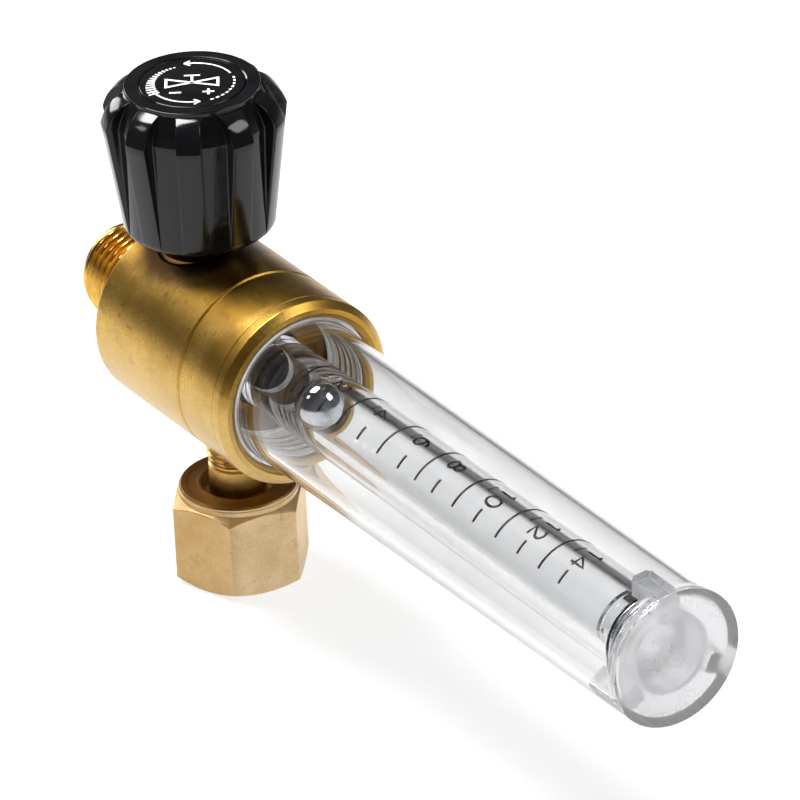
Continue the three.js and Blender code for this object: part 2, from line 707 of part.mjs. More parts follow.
function coverORing() {
  const section = 0.55;
  const radius = COVER_FOOT_RADIUS - section - 0.6;
  const middle = (COVER_SEAT_FLOOR + COVER_FOOT) / 2;
  return oRing(radius, section, FINE).rotateY(Math.PI / 2).translate(middle, 0, 0);
}

// Assembly -------------------------------------------------------------------------------------

const pieces = [
  ['valve_body', valveBody, turnedBrass],
  ['valve_seat', valveSeat, nylon],
  ['bonnet_gasket', bonnetGasket, copper],
  ['bonnet', bonnet, turnedBrass],
  ['inlet_stem', inletStem, turnedBrass],
  ['inlet_filter', inletFilter, sinteredBronze],
  ['filter_clip', filterClip, steel],
  ['nut_slip_washer', slipWasher, nylon],
  ['union_nut', unionNut, sandyBrass],
  ['needle', needle, steel],
  ['spindle', spindle, turnedBrass],
  ['spindle_oring', spindleORing, blackRubber],
  ['knob', knob, blackPlastic],
  ['knob_insert', knobInsert, turnedBrass],
  ['knob_screw', knobScrew, steel],
  ['knob_cap', knobCap, blackPlastic],
  ['tube_seat', tubeSeat, blackRubber],
  ['metering_tube', meteringTube, clearPlastic],
  ['ball_stop', ballStop, clearPlastic],
  ['float_ball', floatBall, steel],
  ['retaining_spring', retainingSpring, steel],
  ['cover_tube', coverTube, clearPlastic],
  ['cover_oring', coverORing, blackRubber],
];

const flowmeter = new THREE.Group();
flowmeter.position.set(KNOB_AXIS_X, 0, TUBE_AXIS_HEIGHT);
for (const [name, geometryOf, materialOf] of pieces) {
  const mesh = new THREE.Mesh(geometryOf(), materialOf());
  mesh.name = name;
  flowmeter.add(mesh);
}

export default flowmeter;
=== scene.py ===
import json
import math

import bmesh
import bpy
import numpy as np
from mathutils import Matrix, Vector


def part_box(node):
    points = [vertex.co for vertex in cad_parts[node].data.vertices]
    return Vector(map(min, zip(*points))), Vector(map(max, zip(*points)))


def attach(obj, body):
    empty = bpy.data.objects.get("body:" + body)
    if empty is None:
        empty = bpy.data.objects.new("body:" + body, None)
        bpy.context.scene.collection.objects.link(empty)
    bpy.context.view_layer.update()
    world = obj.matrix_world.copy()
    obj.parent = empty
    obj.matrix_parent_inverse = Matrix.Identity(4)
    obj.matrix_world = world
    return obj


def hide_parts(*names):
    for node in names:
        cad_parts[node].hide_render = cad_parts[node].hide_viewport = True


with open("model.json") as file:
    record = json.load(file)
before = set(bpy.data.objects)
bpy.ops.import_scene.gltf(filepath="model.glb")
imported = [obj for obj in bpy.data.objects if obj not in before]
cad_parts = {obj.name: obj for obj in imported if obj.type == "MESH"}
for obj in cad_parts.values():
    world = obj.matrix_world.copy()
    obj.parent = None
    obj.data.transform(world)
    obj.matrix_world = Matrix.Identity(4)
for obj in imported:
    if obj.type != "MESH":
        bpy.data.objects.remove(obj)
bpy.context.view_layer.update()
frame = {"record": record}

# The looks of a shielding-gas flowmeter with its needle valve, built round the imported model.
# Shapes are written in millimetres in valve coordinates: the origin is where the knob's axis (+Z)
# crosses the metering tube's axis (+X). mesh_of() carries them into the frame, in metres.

MM = 0.001
TURN = 2 * math.pi


def middle(node):
    low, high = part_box(node)
    return (low + high) / 2


ORIGIN = np.array([middle("knob").x, 0.0, middle("metering_tube").z])
STEM_X = (middle("union_nut").x - ORIGIN[0]) / MM
BODY_OF = {
    node: body
    for body, nodes in frame["record"]["behaviour"]["bodies"].items()
    for node in nodes
}

# Driving dimensions, in millimetres ------------------------------------------------------------

OUTLET_END = -24.3
BODY_REAR = -8.6
BODY_FRONT = 27.6
BODY_RADIUS = 15.0
THREAD_CREST = 7.92
THREAD_PITCH = 25.4 / 18
COVER_PITCH = 1.5
COVER_RADIUS = 11.66
COVER_END = 123.7
COVER_FLOOR = 122.4
MOUTH_FLOOR = 17.5
TUBE_FOOT = 19.5
TUBE_RADIUS = 6.0
TUBE_DRAFT = 0.45
TUBE_TOP = 116.2
BALL_X = 33.2
RIB_START = 115.6
BALL_RADIUS = 3.57
BONNET_FACE = 12.6
NUT_RIM = -39.45
NUT_TOP = -24.3
KNOB_BOTTOM = 17.85
KNOB_SHOULDER = 36.6
KNOB_DISC_FOOT = 40.9
KNOB_TOP = 41.6
KNOB_DISC_RADIUS = 10.31
KNOB_CORE_RADIUS = 12.2
KNOB_BASE_RADIUS = 11.6
KNOB_LOBE_RADIUS = 14.2
KNOB_LOBES = 10
LOBE_HALF_WIDTH = 1.85
PRINT_STROKE = 0.46
PRINT_FILM = 0.025
LIGHT_DISTANCE = 0.9
CAMERA_DISTANCE = 1.320


# Meshes ----------------------------------------------------------------------------------------

def new_object(name, data):
    made = bpy.data.objects.new(name, data)
    bpy.context.scene.collection.objects.link(made)
    return made


def outline(*corners, steps=4, loop=True):
    """Points of a profile through (along, radius) corners; a third number rounds that corner."""
    points = [np.array(corner[:2], float) for corner in corners]
    made = []
    for k, (point, corner) in enumerate(zip(points, corners)):
        if len(corner) < 3 or (not loop and k in (0, len(points) - 1)):
            made.append(point)
            continue
        before = points[k - 1] - point
        after = points[(k + 1) % len(points)] - point
        room = min(np.linalg.norm(before), np.linalg.norm(after))
        before /= np.linalg.norm(before)
        after /= np.linalg.norm(after)
        half = math.acos(float(np.clip(before @ after, -1, 1))) / 2
        reach = min(corner[2] / math.tan(half), 0.3 * room)
        made.append(point + 1.5 * reach * before)
        for t in np.linspace(0, 1, steps + 1):
            start = (1 - t) ** 2 * reach * before
            end = t ** 2 * reach * after
            made.append(point + start + end)
        made.append(point + 1.5 * reach * after)
    return np.array(made)


def run(*corners):
    """A stretch of a profile that other stretches continue at both ends."""
    return outline(*corners, loop=False)


def threaded(start, end, crest, pitch, depth, segments, per_turn=12):
    """Rows of a right-hand helical thread, from start to end, running out at both ends."""
    count = int(abs(end - start) / pitch * per_turn) + 1
    along = np.linspace(start, end, count)[:, None]
    angles = np.arange(segments)[None, :] * TURN / segments
    wave = np.abs(2 * ((along / pitch - angles / TURN) % 1) - 1)
    ridge = np.clip((wave - 0.1) / 0.8, 0, 1)
    fade = np.clip(np.abs(along - start) / pitch, 0, 1) * np.clip(np.abs(end - along) / pitch, 0, 1)
    radius = crest - depth * (1 - ridge * fade) if depth > 0 else crest - depth * (1 - ridge) * fade
    return np.stack([np.broadcast_to(along, radius.shape), radius], -1)


def stack(segments, *parts):
    """Joins plain profiles and threaded rows into rows of one grid."""
    wide = [
        np.repeat(part[:, None, :], segments, 1) if part.ndim == 2 else part for part in parts
    ]
    return np.concatenate(wide)


def turned(rows, axis="X", x=0.0, segments=128):
    """Rings of the rows (along, radius) turned about the tube's axis or a vertical one at x."""
    rows = np.asarray(rows, float)
    if rows.ndim == 2:
        rows = np.repeat(rows[:, None, :], segments, 1)
    angles = np.arange(rows.shape[1]) * TURN / rows.shape[1]
    along, across, up = rows[..., 0], rows[..., 1] * np.cos(angles), rows[..., 1] * np.sin(angles)
    if axis == "X":
        return np.stack([along, across, up], -1)
    return np.stack([x + across, up, along], -1)


def skin(rings, loop=False, caps=False):
    """Vertices and quads through closed rings of points; loop joins the last ring to the first."""
    count, size = rings.shape[:2]
    ring = np.arange(count if loop else count - 1)[:, None]
    step = np.arange(size)[None, :]
    following, beside = (ring + 1) % count, (step + 1) % size
    faces = np.stack(
        [ring * size + step, ring * size + beside, following * size + beside,
         following * size + step], -1,
    ).reshape(-1, 4).tolist()
    if caps:
        faces += [list(range(size)), list(range((count - 1) * size, count * size))]
    return rings.reshape(-1, 3), faces


def gathered(parts):
    """Several (vertices, faces) pairs as one."""
    vertices, faces, base = [], [], 0
    for points, polygons in parts:
        vertices.append(points)
        faces += [[base + corner for corner in polygon] for polygon in polygons]
        base += len(points)
    return np.concatenate(vertices), faces


def mesh_of(vertices, faces, sharp=32):
    """A closed mesh in the frame's metres, its faces out and its edges sharp beyond an angle."""
    mesh = bpy.data.meshes.new("mesh")
    mesh.from_pydata((np.asarray(vertices) * MM + ORIGIN).tolist(), [], faces)
    work = bmesh.new()
    work.from_mesh(mesh)
    bmesh.ops.remove_doubles(work, verts=work.verts, dist=2e-7)
    bmesh.ops.recalc_face_normals(work, faces=work.faces)
    work.to_mesh(mesh)
    work.free()
    return smoothed(mesh, sharp)


def smoothed(mesh, sharp=32):
    mesh.shade_smooth()
    mesh.set_sharp_from_angle(angle=math.radians(sharp))
    return mesh


def lathe(rows, axis="X", x=0.0, segments=128, sharp=32):
    """A turned mesh: a profile that starts on the axis is open, and any other one is a loop."""
    rings = turned(rows, axis, x, segments)
    first, last = np.asarray(rows, float)[0], np.asarray(rows, float)[-1]
    loop = not (np.max(first[..., 1]) < 1e-6 and np.max(last[..., 1]) < 1e-6)
    return mesh_of(*skin(rings, loop), sharp)


def worked(mesh, tools, operation="DIFFERENCE", sharp=32):
    """The mesh with tools cut from it or joined to it."""
    for tool in tools:
        subject, other = new_object("subject", mesh), new_object("other", tool)
        change = subject.modifiers.new("change", "BOOLEAN")
        change.object, change.operation, change.solver = other, operation, "EXACT"
        graph = bpy.context.evaluated_depsgraph_get()
        mesh = bpy.data.meshes.new_from_object(subject.evaluated_get(graph))
        for item in (subject, other):
            bpy.data.objects.remove(item)
    return smoothed(mesh, sharp)


def block(low, high, bevel, turn=0.0, axis="X"):
    """A box with rounded edges, turned about an axis through the origin."""
    work = bmesh.new()
    size = np.abs(np.array(high, float) - np.array(low, float))
    centre = (np.array(high, float) + np.array(low, float)) / 2
    bmesh.ops.create_cube(work, size=1)
    bmesh.ops.transform(work, matrix=Matrix.Diagonal((*size, 1)), verts=work.verts)
    bmesh.ops.bevel(work, geom=work.edges[:], offset=bevel, segments=3, affect="EDGES")
    placed = Matrix.Rotation(turn, 4, axis) @ Matrix.Translation(Vector(centre))
    bmesh.ops.transform(work, matrix=placed, verts=work.verts)
    vertices = np.array([vertex.co[:] for vertex in work.verts])
    faces = [[vertex.index for vertex in face.verts] for face in work.faces]
    work.free()
    return mesh_of(vertices, faces)


def drilled(start, end, radius, segments=24):
    """A straight round hole from start to end, as a solid to cut with."""
    start, end = np.array(start, float), np.array(end, float)
    along = (end - start) / np.linalg.norm(end - start)
    side = np.cross(along, [0.3, 0.9, 0.1])
    side /= np.linalg.norm(side)
    angles = np.arange(segments)[:, None] * TURN / segments
    ring = radius * (np.cos(angles) * side + np.sin(angles) * np.cross(along, side))
    return mesh_of(*skin(np.array([start + ring, end + ring]), caps=True))


def add_piece(name, mesh, finish, node):
    """Adds a piece that rides on a CAD node's body."""
    piece = new_object(name, mesh)
    mesh.name = name
    mesh.materials.clear()
    mesh.materials.append(finish)
    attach(piece, BODY_OF[node])
    return piece


def refine(node, mesh, finish):
    """Adds the fine piece that is seen in place of a CAD node."""
    piece = add_piece(node + "_fine", mesh, finish, node)
    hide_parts(node)


# Materials -------------------------------------------------------------------------------------

def rgba(shade):
    """A colour with its alpha; a single number is a grey."""
    tone = (shade,) * 3 if isinstance(shade, (int, float)) else shade
    return (*tone, 1)


def set_stops(ramp, stops):
    """Gives a colour ramp node its stops of (position, number or colour)."""
    elements = ramp.color_ramp.elements
    while len(elements) < len(stops):
        elements.new(0.5)
    for element, (position, shade) in zip(elements, stops):
        element.position = position
        element.color = rgba(shade)


class Finish:
    """A procedural material round one Principled shader, in the frame's own coordinates."""

    def __init__(self, name, **constants):
        self.material = bpy.data.materials.new(name)
        self.material.use_nodes = True
        self.tree = self.material.node_tree
        self.shader = self.tree.nodes["Principled BSDF"]
        for socket, value in constants.items():
            self.shader.inputs[socket.replace("_", " ")].default_value = value
        self.coordinates = self.node("TexCoord").outputs["Object"]
        self.height = None

    def node(self, kind, inputs=(), **settings):
        made = self.tree.nodes.new("ShaderNode" + kind)
        for setting, value in settings.items():
            setattr(made, setting, value)
        for socket, value in dict(inputs).items():
            if isinstance(value, bpy.types.NodeSocket):
                self.tree.links.new(value, made.inputs[socket])
            else:
                made.inputs[socket].default_value = value
        return made

    def noise(self, scale, detail=3.0, roughness=0.55, distortion=0.0, shift=0.0):
        """Noise whose scale is per metre, and may differ along x, y and z."""
        spread = scale if isinstance(scale, tuple) else (scale,) * 3
        mapped = self.node(
            "Mapping", {"Vector": self.coordinates, "Scale": spread, "Location": (shift,) * 3}
        )
        settings = {
            "Vector": mapped.outputs["Vector"], "Scale": 1.0, "Detail": detail,
            "Roughness": roughness, "Distortion": distortion,
        }
        return self.node("TexNoise", settings).outputs["Fac"]

    def ramp(self, value, *stops):
        """Maps a 0..1 value through stops of (position, number or colour)."""
        made = self.node("ValToRGB", {"Fac": value})
        set_stops(made, stops)
        return made.outputs["Color"]

    def blend(self, factor, first, second, kind="MIX"):
        made = self.node("Mix", data_type="RGBA", blend_type=kind)
        for index, value in ((0, factor), (6, first), (7, second)):
            if isinstance(value, bpy.types.NodeSocket):
                self.tree.links.new(value, made.inputs[index])
            elif index == 0:
                made.inputs[index].default_value = value
            else:
                made.inputs[index].default_value = rgba(value)
        return made.outputs[2]

    def product(self, first, second):
        return self.blend(1.0, first, second, "MULTIPLY")

    def over(self, tone, shade, value, *stops):
        """Lays a shade over a tone, as thickly as the value's ramp says."""
        return self.blend(self.ramp(value, *stops), tone, shade)

    def range(self, value, start, end, low=0.0, high=1.0):
        """Carries a value smoothly from the range start..end to the range low..high."""
        inputs = {"Value": value, "From Min": start, "From Max": end, "To Min": low, "To Max": high}
        made = self.node("MapRange", inputs, interpolation_type="SMOOTHSTEP")
        return made.outputs["Result"]

    def position(self, axis):
        return self.node("SeparateXYZ", {"Vector": self.coordinates}).outputs[axis]

    def length(self, vector):
        return self.node("VectorMath", {0: vector}, operation="LENGTH").outputs["Value"]

    def radius_about_knob(self):
        """Distance from the knob's axis, in metres."""
        mapped = self.node("Mapping", {
            "Vector": self.coordinates, "Location": (-ORIGIN[0], 0.0, 0.0), "Scale": (1, 1, 0)})
        return self.length(mapped.outputs[0])

    def axial_radius(self):
        """Distance from the metering tube's axis, in metres."""
        mapped = self.node("Mapping", {
            "Vector": self.coordinates, "Location": (0.0, 0.0, -ORIGIN[2]), "Scale": (0, 1, 1)})
        return self.length(mapped.outputs[0])

    def use(self, socket, value):
        self.tree.links.new(value, self.shader.inputs[socket])

    def bump(self, value, distance, strength=1.0):
        """Adds relief of a real height in metres on top of what is there."""
        inputs = {"Height": value, "Distance": distance, "Strength": strength}
        if self.height is not None:
            inputs["Normal"] = self.height
        self.height = self.node("Bump", inputs).outputs["Normal"]
        self.use("Normal", self.height)


def brass(name, light, dark, spread, rough, grain=1.1e-5, specks=0.5, stains=0.5):
    """Turned brass: tool marks along `spread`, uneven tarnish, stains, scratches and specks."""
    finish = Finish(name, Metallic=1.0)
    tarnish = finish.noise(95.0, 4.0, 0.6, 0.4)
    tone = finish.ramp(tarnish, (0.36, dark), (0.62, light))
    lines = finish.noise(spread, 2.0, 0.5)
    tone = finish.over(tone, dark, lines, (0.3, 0.3), (0.62, 0.0))
    blotches = finish.noise(260.0, 6.0, 0.68, 1.2, shift=5.0)
    brown = tuple(0.42 * channel for channel in dark)
    tone = finish.over(tone, brown, blotches, (0.56, 0.0), (0.68, stains))
    curves = finish.noise((70.0, 110.0, 110.0), 0.0, 0.4, 0.2, shift=9.0)
    scratches = finish.ramp(curves, (0.496, 0.0), (0.499, 1.0), (0.501, 1.0), (0.504, 0.0))
    broken = finish.ramp(finish.noise(260.0, 2.0, 0.5, shift=12.0), (0.5, 0.0), (0.6, 0.6))
    marks = finish.product(scratches, broken)
    tone = finish.blend(marks, tone, brown)
    spots = finish.noise(620.0, 2.0, 0.5, shift=7.0)
    black = tuple(0.25 * channel for channel in dark)
    tone = finish.over(tone, black, spots, (0.66, 0.0), (0.73, specks))
    grit = finish.noise(2600.0, 2.0, 0.6, shift=6.0)
    finish.tone = finish.over(tone, dark, grit, (0.35, 0.6), (0.6, 0.0))
    finish.use("Base Color", finish.tone)
    smear = finish.noise(170.0, 3.0, 0.6, shift=3.0)
    finish.gloss = finish.blend(
        0.5, finish.ramp(smear, (0.3, rough[0]), (0.7, rough[1])),
        finish.ramp(lines, (0.3, rough[0]), (0.7, rough[1])))
    finish.use("Roughness", finish.gloss)
    finish.bump(lines, grain)
    finish.bump(finish.ramp(spots, (0.6, 1.0), (0.74, 0.0)), 2e-6)
    finish.bump(marks, -3e-6)
    return finish


def body_brass_finish():
    """The body's brass: paler below as a painted reflection of the pale floor, warm on the outlet,
    brown in the mouth, and with a painted shadow and reflection of the knob, mixed with some grime,
    round the bonnet.
    """
    finish = brass("body_brass", BRASS_LIGHT, BRASS_DARK, ALONG_X, (0.29, 0.39))
    # Painted reflection of the pale floor: towards the bottom the brass turns halfway to a pale tone.
    under = finish.range(finish.position("Z"), ORIGIN[2] + 7 * MM, ORIGIN[2] - 4 * MM)
    finish.tone = finish.blend(under, finish.tone, finish.blend(0.5, finish.tone, BRASS_FLOOR_REFLECTION))
    rear = ORIGIN[0] + BODY_REAR * MM
    outlet = finish.range(finish.position("X"), rear - 2e-4, rear)
    warm = finish.ramp(finish.noise(200.0, 3.0, 0.5, shift=8.0),
                       (0.35, (0.50, 0.25, 0.045)), (0.65, (0.80, 0.50, 0.11)))
    tone = finish.blend(outlet, warm, finish.tone)
    # Painted shadow and reflection of the knob, with some grime: the body's top turns dark brown
    # close to the knob's axis.
    upper = finish.range(finish.position("Z"), ORIGIN[2] + 9 * MM, ORIGIN[2] + 12 * MM)
    ragged = finish.noise(300.0, 3.0, 0.6, shift=15.0)
    near = finish.node("Math", {0: ragged, 1: -0.003, 2: finish.radius_about_knob()},
                       operation="MULTIPLY_ADD").outputs[0]
    knob_shadow_and_grime = finish.product(finish.range(near, 0.0065, 0.0100, 0.88, 0.0), upper)
    tone = finish.blend(knob_shadow_and_grime, tone, (0.075, 0.030, 0.008))
    deepest = ORIGIN[0] + (MOUTH_FLOOR - 1.5) * MM
    mouth = finish.product(finish.range(finish.position("X"), deepest, deepest + 1e-4),
                           finish.range(finish.axial_radius(), 12.8e-3, 12.6e-3))
    finish.use("Base Color", finish.blend(mouth, tone, (0.30, 0.17, 0.055)))
    finish.use("Roughness", finish.blend(outlet, 0.26, finish.gloss))
    return finish.material


def nut_brass_finish():
    """The nut's sandy brass, with painted shade on one side and a painted dark reflection on its
    turned top face.
    """
    finish = Finish("nut_brass", Metallic=1.0)
    tarnish = finish.noise(130.0, 5.0, 0.65, 0.5)
    light = finish.ramp(tarnish, (0.35, (0.68, 0.49, 0.26)), (0.65, (0.84, 0.65, 0.40)))
    dark = finish.ramp(tarnish, (0.35, (0.46, 0.30, 0.12)), (0.65, (0.60, 0.42, 0.20)))
    # Painted shade: the -Y side of the nut takes the darker copy of the tone.
    tone = finish.blend(finish.range(finish.position("Y"), -0.0085, -0.0045), dark, light)
    # Painted reflection of the dark surroundings: the nut's top face is made dark brown.
    face = ORIGIN[2] + NUT_TOP * MM
    top = finish.range(finish.position("Z"), face - 4e-4, face - 1.5e-4)
    tone = finish.blend(top, tone, (0.26, 0.14, 0.045))
    grit = finish.noise(5200.0, 2.0, 0.7)
    tone = finish.over(tone, (0.34, 0.20, 0.08), grit, (0.35, 0.35), (0.6, 0.0))
    stains = finish.noise(330.0, 5.0, 0.7, 1.5, shift=8.0)
    tone = finish.over(tone, (0.30, 0.17, 0.06), stains, (0.58, 0.0), (0.70, 0.4))
    finish.use("Base Color", tone)
    finish.use("Roughness", finish.ramp(tarnish, (0.3, 0.40), (0.7, 0.52)))
    finish.bump(grit, 9e-6)
    finish.bump(finish.noise(420.0, 3.0, 0.5, shift=5.0), 1.4e-5)
    return finish.material


def black_plastic():
    """The knob's glossy moulded plastic, a little wavy."""
    finish = Finish("black_plastic", IOR=1.40)
    cloud = finish.noise(240.0, 4.0, 0.6)
    finish.use("Base Color", finish.ramp(
        cloud, (0.35, (0.004, 0.004, 0.005)), (0.7, (0.008, 0.008, 0.009))))
    finish.use("Roughness", finish.ramp(cloud, (0.3, 0.08), (0.72, 0.15)))
    finish.bump(finish.noise(130.0, 2.0, 0.5, shift=2.0), 1.0e-5)
    finish.bump(finish.noise(2600.0, 2.0, 0.5, shift=4.0), 2.0e-7)
    return finish.material


def clear_plastic(name, tint, ior):
    """Clear moulded plastic, slightly wavy along its length and hazy in patches."""
    finish = Finish(name, Transmission_Weight=1.0, IOR=ior)
    cloud = finish.noise(60.0, 3.0, 0.5)
    pale = tuple(0.5 + 0.5 * channel for channel in tint)
    finish.tone = finish.ramp(cloud, (0.3, tint), (0.7, pale))
    finish.use("Base Color", finish.tone)
    haze = finish.noise((260.0, 900.0, 900.0), 3.0, 0.6, shift=1.0)
    finish.gloss = finish.ramp(haze, (0.45, 0.0), (0.8, 0.06))
    finish.use("Roughness", finish.gloss)
    finish.bump(finish.noise((30.0, 160.0, 160.0), 2.0, 0.5, shift=6.0), 2.5e-6)
    return finish


def cover_plastic_finish():
    """The cover's plastic, cloudy in its closed end and white on its thread's crests, with a painted
    glow on the crests and a faint one in the ribs and floor of the end.
    """
    finish = clear_plastic("cover_plastic", (0.85, 0.855, 0.86), 1.5)
    along, radius = finish.position("X"), finish.axial_radius()

    def beyond(start, end):
        return finish.range(along, ORIGIN[0] + start * MM, ORIGIN[0] + end * MM)

    inside = finish.product(beyond(RIB_START - 0.3, RIB_START),
                            finish.range(radius, 9.65 * MM, 9.55 * MM))
    face = beyond(COVER_END - 0.2, COVER_END - 0.1)
    cloudy = finish.blend(1.0, inside, face, "LIGHTEN")
    swirl = finish.noise(95.0, 4.0, 0.6, 1.5, shift=3.0)
    thread = finish.range(radius, (COVER_RADIUS + 0.1) * MM, (COVER_RADIUS + 0.3) * MM)
    worn = finish.noise((900.0, 160.0, 160.0), 3.0, 0.6, shift=4.0)
    whitened_and_glowing = finish.product(thread, finish.ramp(worn, (0.3, 0.45), (0.6, 1.0)))
    white = finish.ramp(swirl, (0.3, (0.92, 0.92, 0.94)), (0.7, (0.98, 0.98, 0.99)))
    dull = finish.blend(1.0, cloudy, whitened_and_glowing, "LIGHTEN")
    finish.use("Base Color", finish.blend(dull, finish.tone, white))
    finish.use("Roughness", finish.blend(
        cloudy, finish.blend(whitened_and_glowing, finish.gloss, 0.28),
        finish.ramp(swirl, (0.3, 0.24), (0.7, 0.36))))
    rim = finish.product(face, finish.range(radius, 9.0 * MM, 9.7 * MM))
    clear = finish.blend(cloudy, finish.blend(whitened_and_glowing, 1.0, 0.55),
                         finish.ramp(swirl, (0.3, 0.62), (0.7, 0.80)))
    finish.use("Transmission Weight", finish.blend(rim, clear, 0.72))
    # Painted light: the white thread crests glow, and the ribs and floor inside the closed end glow
    # faintly.
    finish.use("Emission Color", white)
    finish.use("Emission Strength", finish.blend(inside, finish.product(whitened_and_glowing, 0.24), 0.02))
    return finish.material


def polished_steel(name, rough, spread):
    """Bright steel with fine marks along `spread`."""
    finish = Finish(name, Metallic=1.0)
    cloud = finish.noise(500.0, 3.0, 0.6)
    lines = finish.noise(spread, 2.0, 0.5, shift=2.0)
    finish.use("Base Color", finish.ramp(
        cloud, (0.3, (0.68, 0.69, 0.71)), (0.7, (0.80, 0.81, 0.83))))
    finish.use("Roughness", finish.ramp(lines, (0.3, rough[0]), (0.7, rough[1])))
    finish.bump(lines, 1.0e-6)
    return finish.material


def matte(name, low, high, rough, grain, distance, metallic=0.0):
    """A dull surface with a fine grain: rubber, nylon, sintered bronze, printing ink."""
    finish = Finish(name, Metallic=metallic)
    cloud = finish.noise(300.0, 3.0, 0.6)
    grit = finish.noise(grain, 3.0, 0.6, shift=3.0)
    tone = finish.ramp(cloud, (0.3, low), (0.7, high))
    shadow = tuple(0.5 * channel for channel in low)
    finish.use("Base Color", finish.over(tone, shadow, grit, (0.35, 0.35), (0.6, 0.0)))
    finish.use("Roughness", finish.ramp(grit, (0.3, rough), (0.7, min(1.0, rough + 0.15))))
    finish.bump(grit, distance)
    return finish.material


# The third tone is the pale colour of the body's painted floor reflection.
BRASS_LIGHT, BRASS_DARK, BRASS_FLOOR_REFLECTION = (0.62, 0.385, 0.085), (0.38, 0.205, 0.032), (0.62, 0.46, 0.20)
ALONG_X, ALONG_Z = (5200.0, 90.0, 90.0), (90.0, 90.0, 5200.0)
body_brass = body_brass_finish()
fitting_brass = brass("fitting_brass", (0.76, 0.50, 0.16), (0.52, 0.30, 0.08), ALONG_Z,
                      (0.22, 0.34)).material
stem_brass = brass("stem_brass", (0.70, 0.46, 0.15), (0.44, 0.25, 0.07), ALONG_Z,
                   (0.28, 0.40), specks=0.7, stains=0.7).material
# The bonnet's brass takes a much darker tone than the other brass pieces.
gland_brass = brass("gland_brass", (0.34, 0.19, 0.06), (0.16, 0.08, 0.025), ALONG_Z,
                    (0.24, 0.36), specks=0.7, stains=0.8).material
nut_brass = nut_brass_finish()
knob_plastic = black_plastic()
cover_plastic = cover_plastic_finish()
tube_plastic = clear_plastic("tube_plastic", (0.98, 0.985, 0.99), 1.52).material
ball_steel = polished_steel("ball_steel", (0.05, 0.09), (700.0, 700.0, 700.0))
wire_steel = polished_steel("wire_steel", (0.16, 0.30), (900.0, 2500.0, 2500.0))
rubber = matte("rubber", (0.012, 0.012, 0.012), (0.022, 0.022, 0.022), 0.55, 3500.0, 4e-6)
nylon = matte("nylon", (0.70, 0.67, 0.58), (0.80, 0.77, 0.68), 0.42, 2200.0, 3e-6)
copper = matte("copper", (0.20, 0.09, 0.045), (0.30, 0.14, 0.08), 0.36, 2400.0, 3e-6, 1.0)
bronze = matte("bronze", (0.30, 0.20, 0.09), (0.46, 0.33, 0.17), 0.62, 1700.0, 5e-5, 1.0)
scale_ink = matte("scale_ink", (0.006, 0.006, 0.007), (0.012, 0.012, 0.012), 0.42, 4000.0, 1e-6)
cap_ink = matte("cap_ink", (0.90, 0.90, 0.90), (0.97, 0.97, 0.97), 0.45, 4000.0, 2e-6)


# Valve body and its fixed pieces ---------------------------------------------------------------

def valve_body():
    segments = 192
    depth = 0.613 * THREAD_PITCH
    radius = BODY_RADIUS
    thread = threaded(OUTLET_END + 0.25, BODY_REAR - 1.1, THREAD_CREST, THREAD_PITCH, depth, segments)
    lead_in = 7.05 + (thread[..., 0] - OUTLET_END) * 0.9
    thread[..., 1] = np.minimum(thread[..., 1], lead_in)
    cover_thread = threaded(27.0, 18.4, 12.38, COVER_PITCH, -0.55, segments)
    rows = stack(
        segments,
        run((BODY_REAR + 1, 0), (BODY_REAR, 4.0, 0.1), (OUTLET_END + 2.8, 4.0, 0.2),
            (OUTLET_END, 6.2, 0.12), (OUTLET_END, 7.0, 0.12)),
        thread,
        run((BODY_REAR - 0.9, 7.0), (BODY_REAR, 7.0, 0.25), (BODY_REAR, radius - 0.7, 0.2),
            (BODY_REAR + 0.7, radius, 0.3),
            (14.9, radius, 0.06), (15.08, radius - 0.26, 0.05), (15.6, radius - 0.26, 0.05),
            (15.78, radius, 0.06), (24.6, radius), (24.68, radius - 0.06),
            (24.8, radius - 0.06), (24.88, radius), (26.4, radius, 0.3),
            (BODY_FRONT, radius - 1, 0.22), (BODY_FRONT, 13.2, 0.12), (27.1, 12.7, 0.08)),
        cover_thread,
        run((18.2, 12.38), (MOUTH_FLOOR, 12.38, 0.1), (MOUTH_FLOOR, 6.35, 0.1),
            (16.6, 6.35, 0.1), (16.6, 0)),
    )
    shape = lathe(rows, segments=segments)
    chamber = lathe(outline(
        (-0.2, 0), (-0.2, 1.2), (1.9, 1.2), (1.9, 4.2), (5.0, 4.2), (5.0, 5.15),
        (BONNET_FACE, 5.15), (BONNET_FACE, 6.9), (17.0, 6.9), (17.0, 0)), "Z", segments=96)
    socket = lathe(outline((-17.0, 0), (-17.0, 5.6), (-14.3, 4.75), (-8.2, 4.75), (-8.2, 0)),
                   "Z", STEM_X, 72)
    passages = [
        drilled((4.9, 3, -8.9), (4.9, 3, 7), 1.3),
        drilled((-0.5, 0, 0), (17, 0, 0), 1.3),
        drilled((BODY_REAR - 5, -1, -1), (18, -8.2, -4), 1.3),
    ]
    return worked(shape, [chamber, socket, *passages])


def bonnet():
    """A gland with a round flange, two spanner flats on its neck and a countersunk top."""
    face = BONNET_FACE + 0.7
    shape = lathe(outline(
        (8.2, 3.15, 0.1), (8.2, 4.5, 0.1), (8.7, 5.0, 0.1), (face, 5.0), (face, 6.6, 0.15),
        (14.3, 6.6, 0.2), (14.8, 6.1, 0.2), (14.8, 4.4, 0.2), (18.1, 4.4, 0.15),
        (18.6, 3.9, 0.15), (18.6, 2.85, 0.1), (18.4, 2.65), (14.2, 2.65), (14.2, 3.15)),
        "Z", segments=96)
    flats = [block((-6, side * 4.0, 15.4), (6, side * 6.0, 19.2), 0.05) for side in (1, -1)]
    return worked(shape, flats)


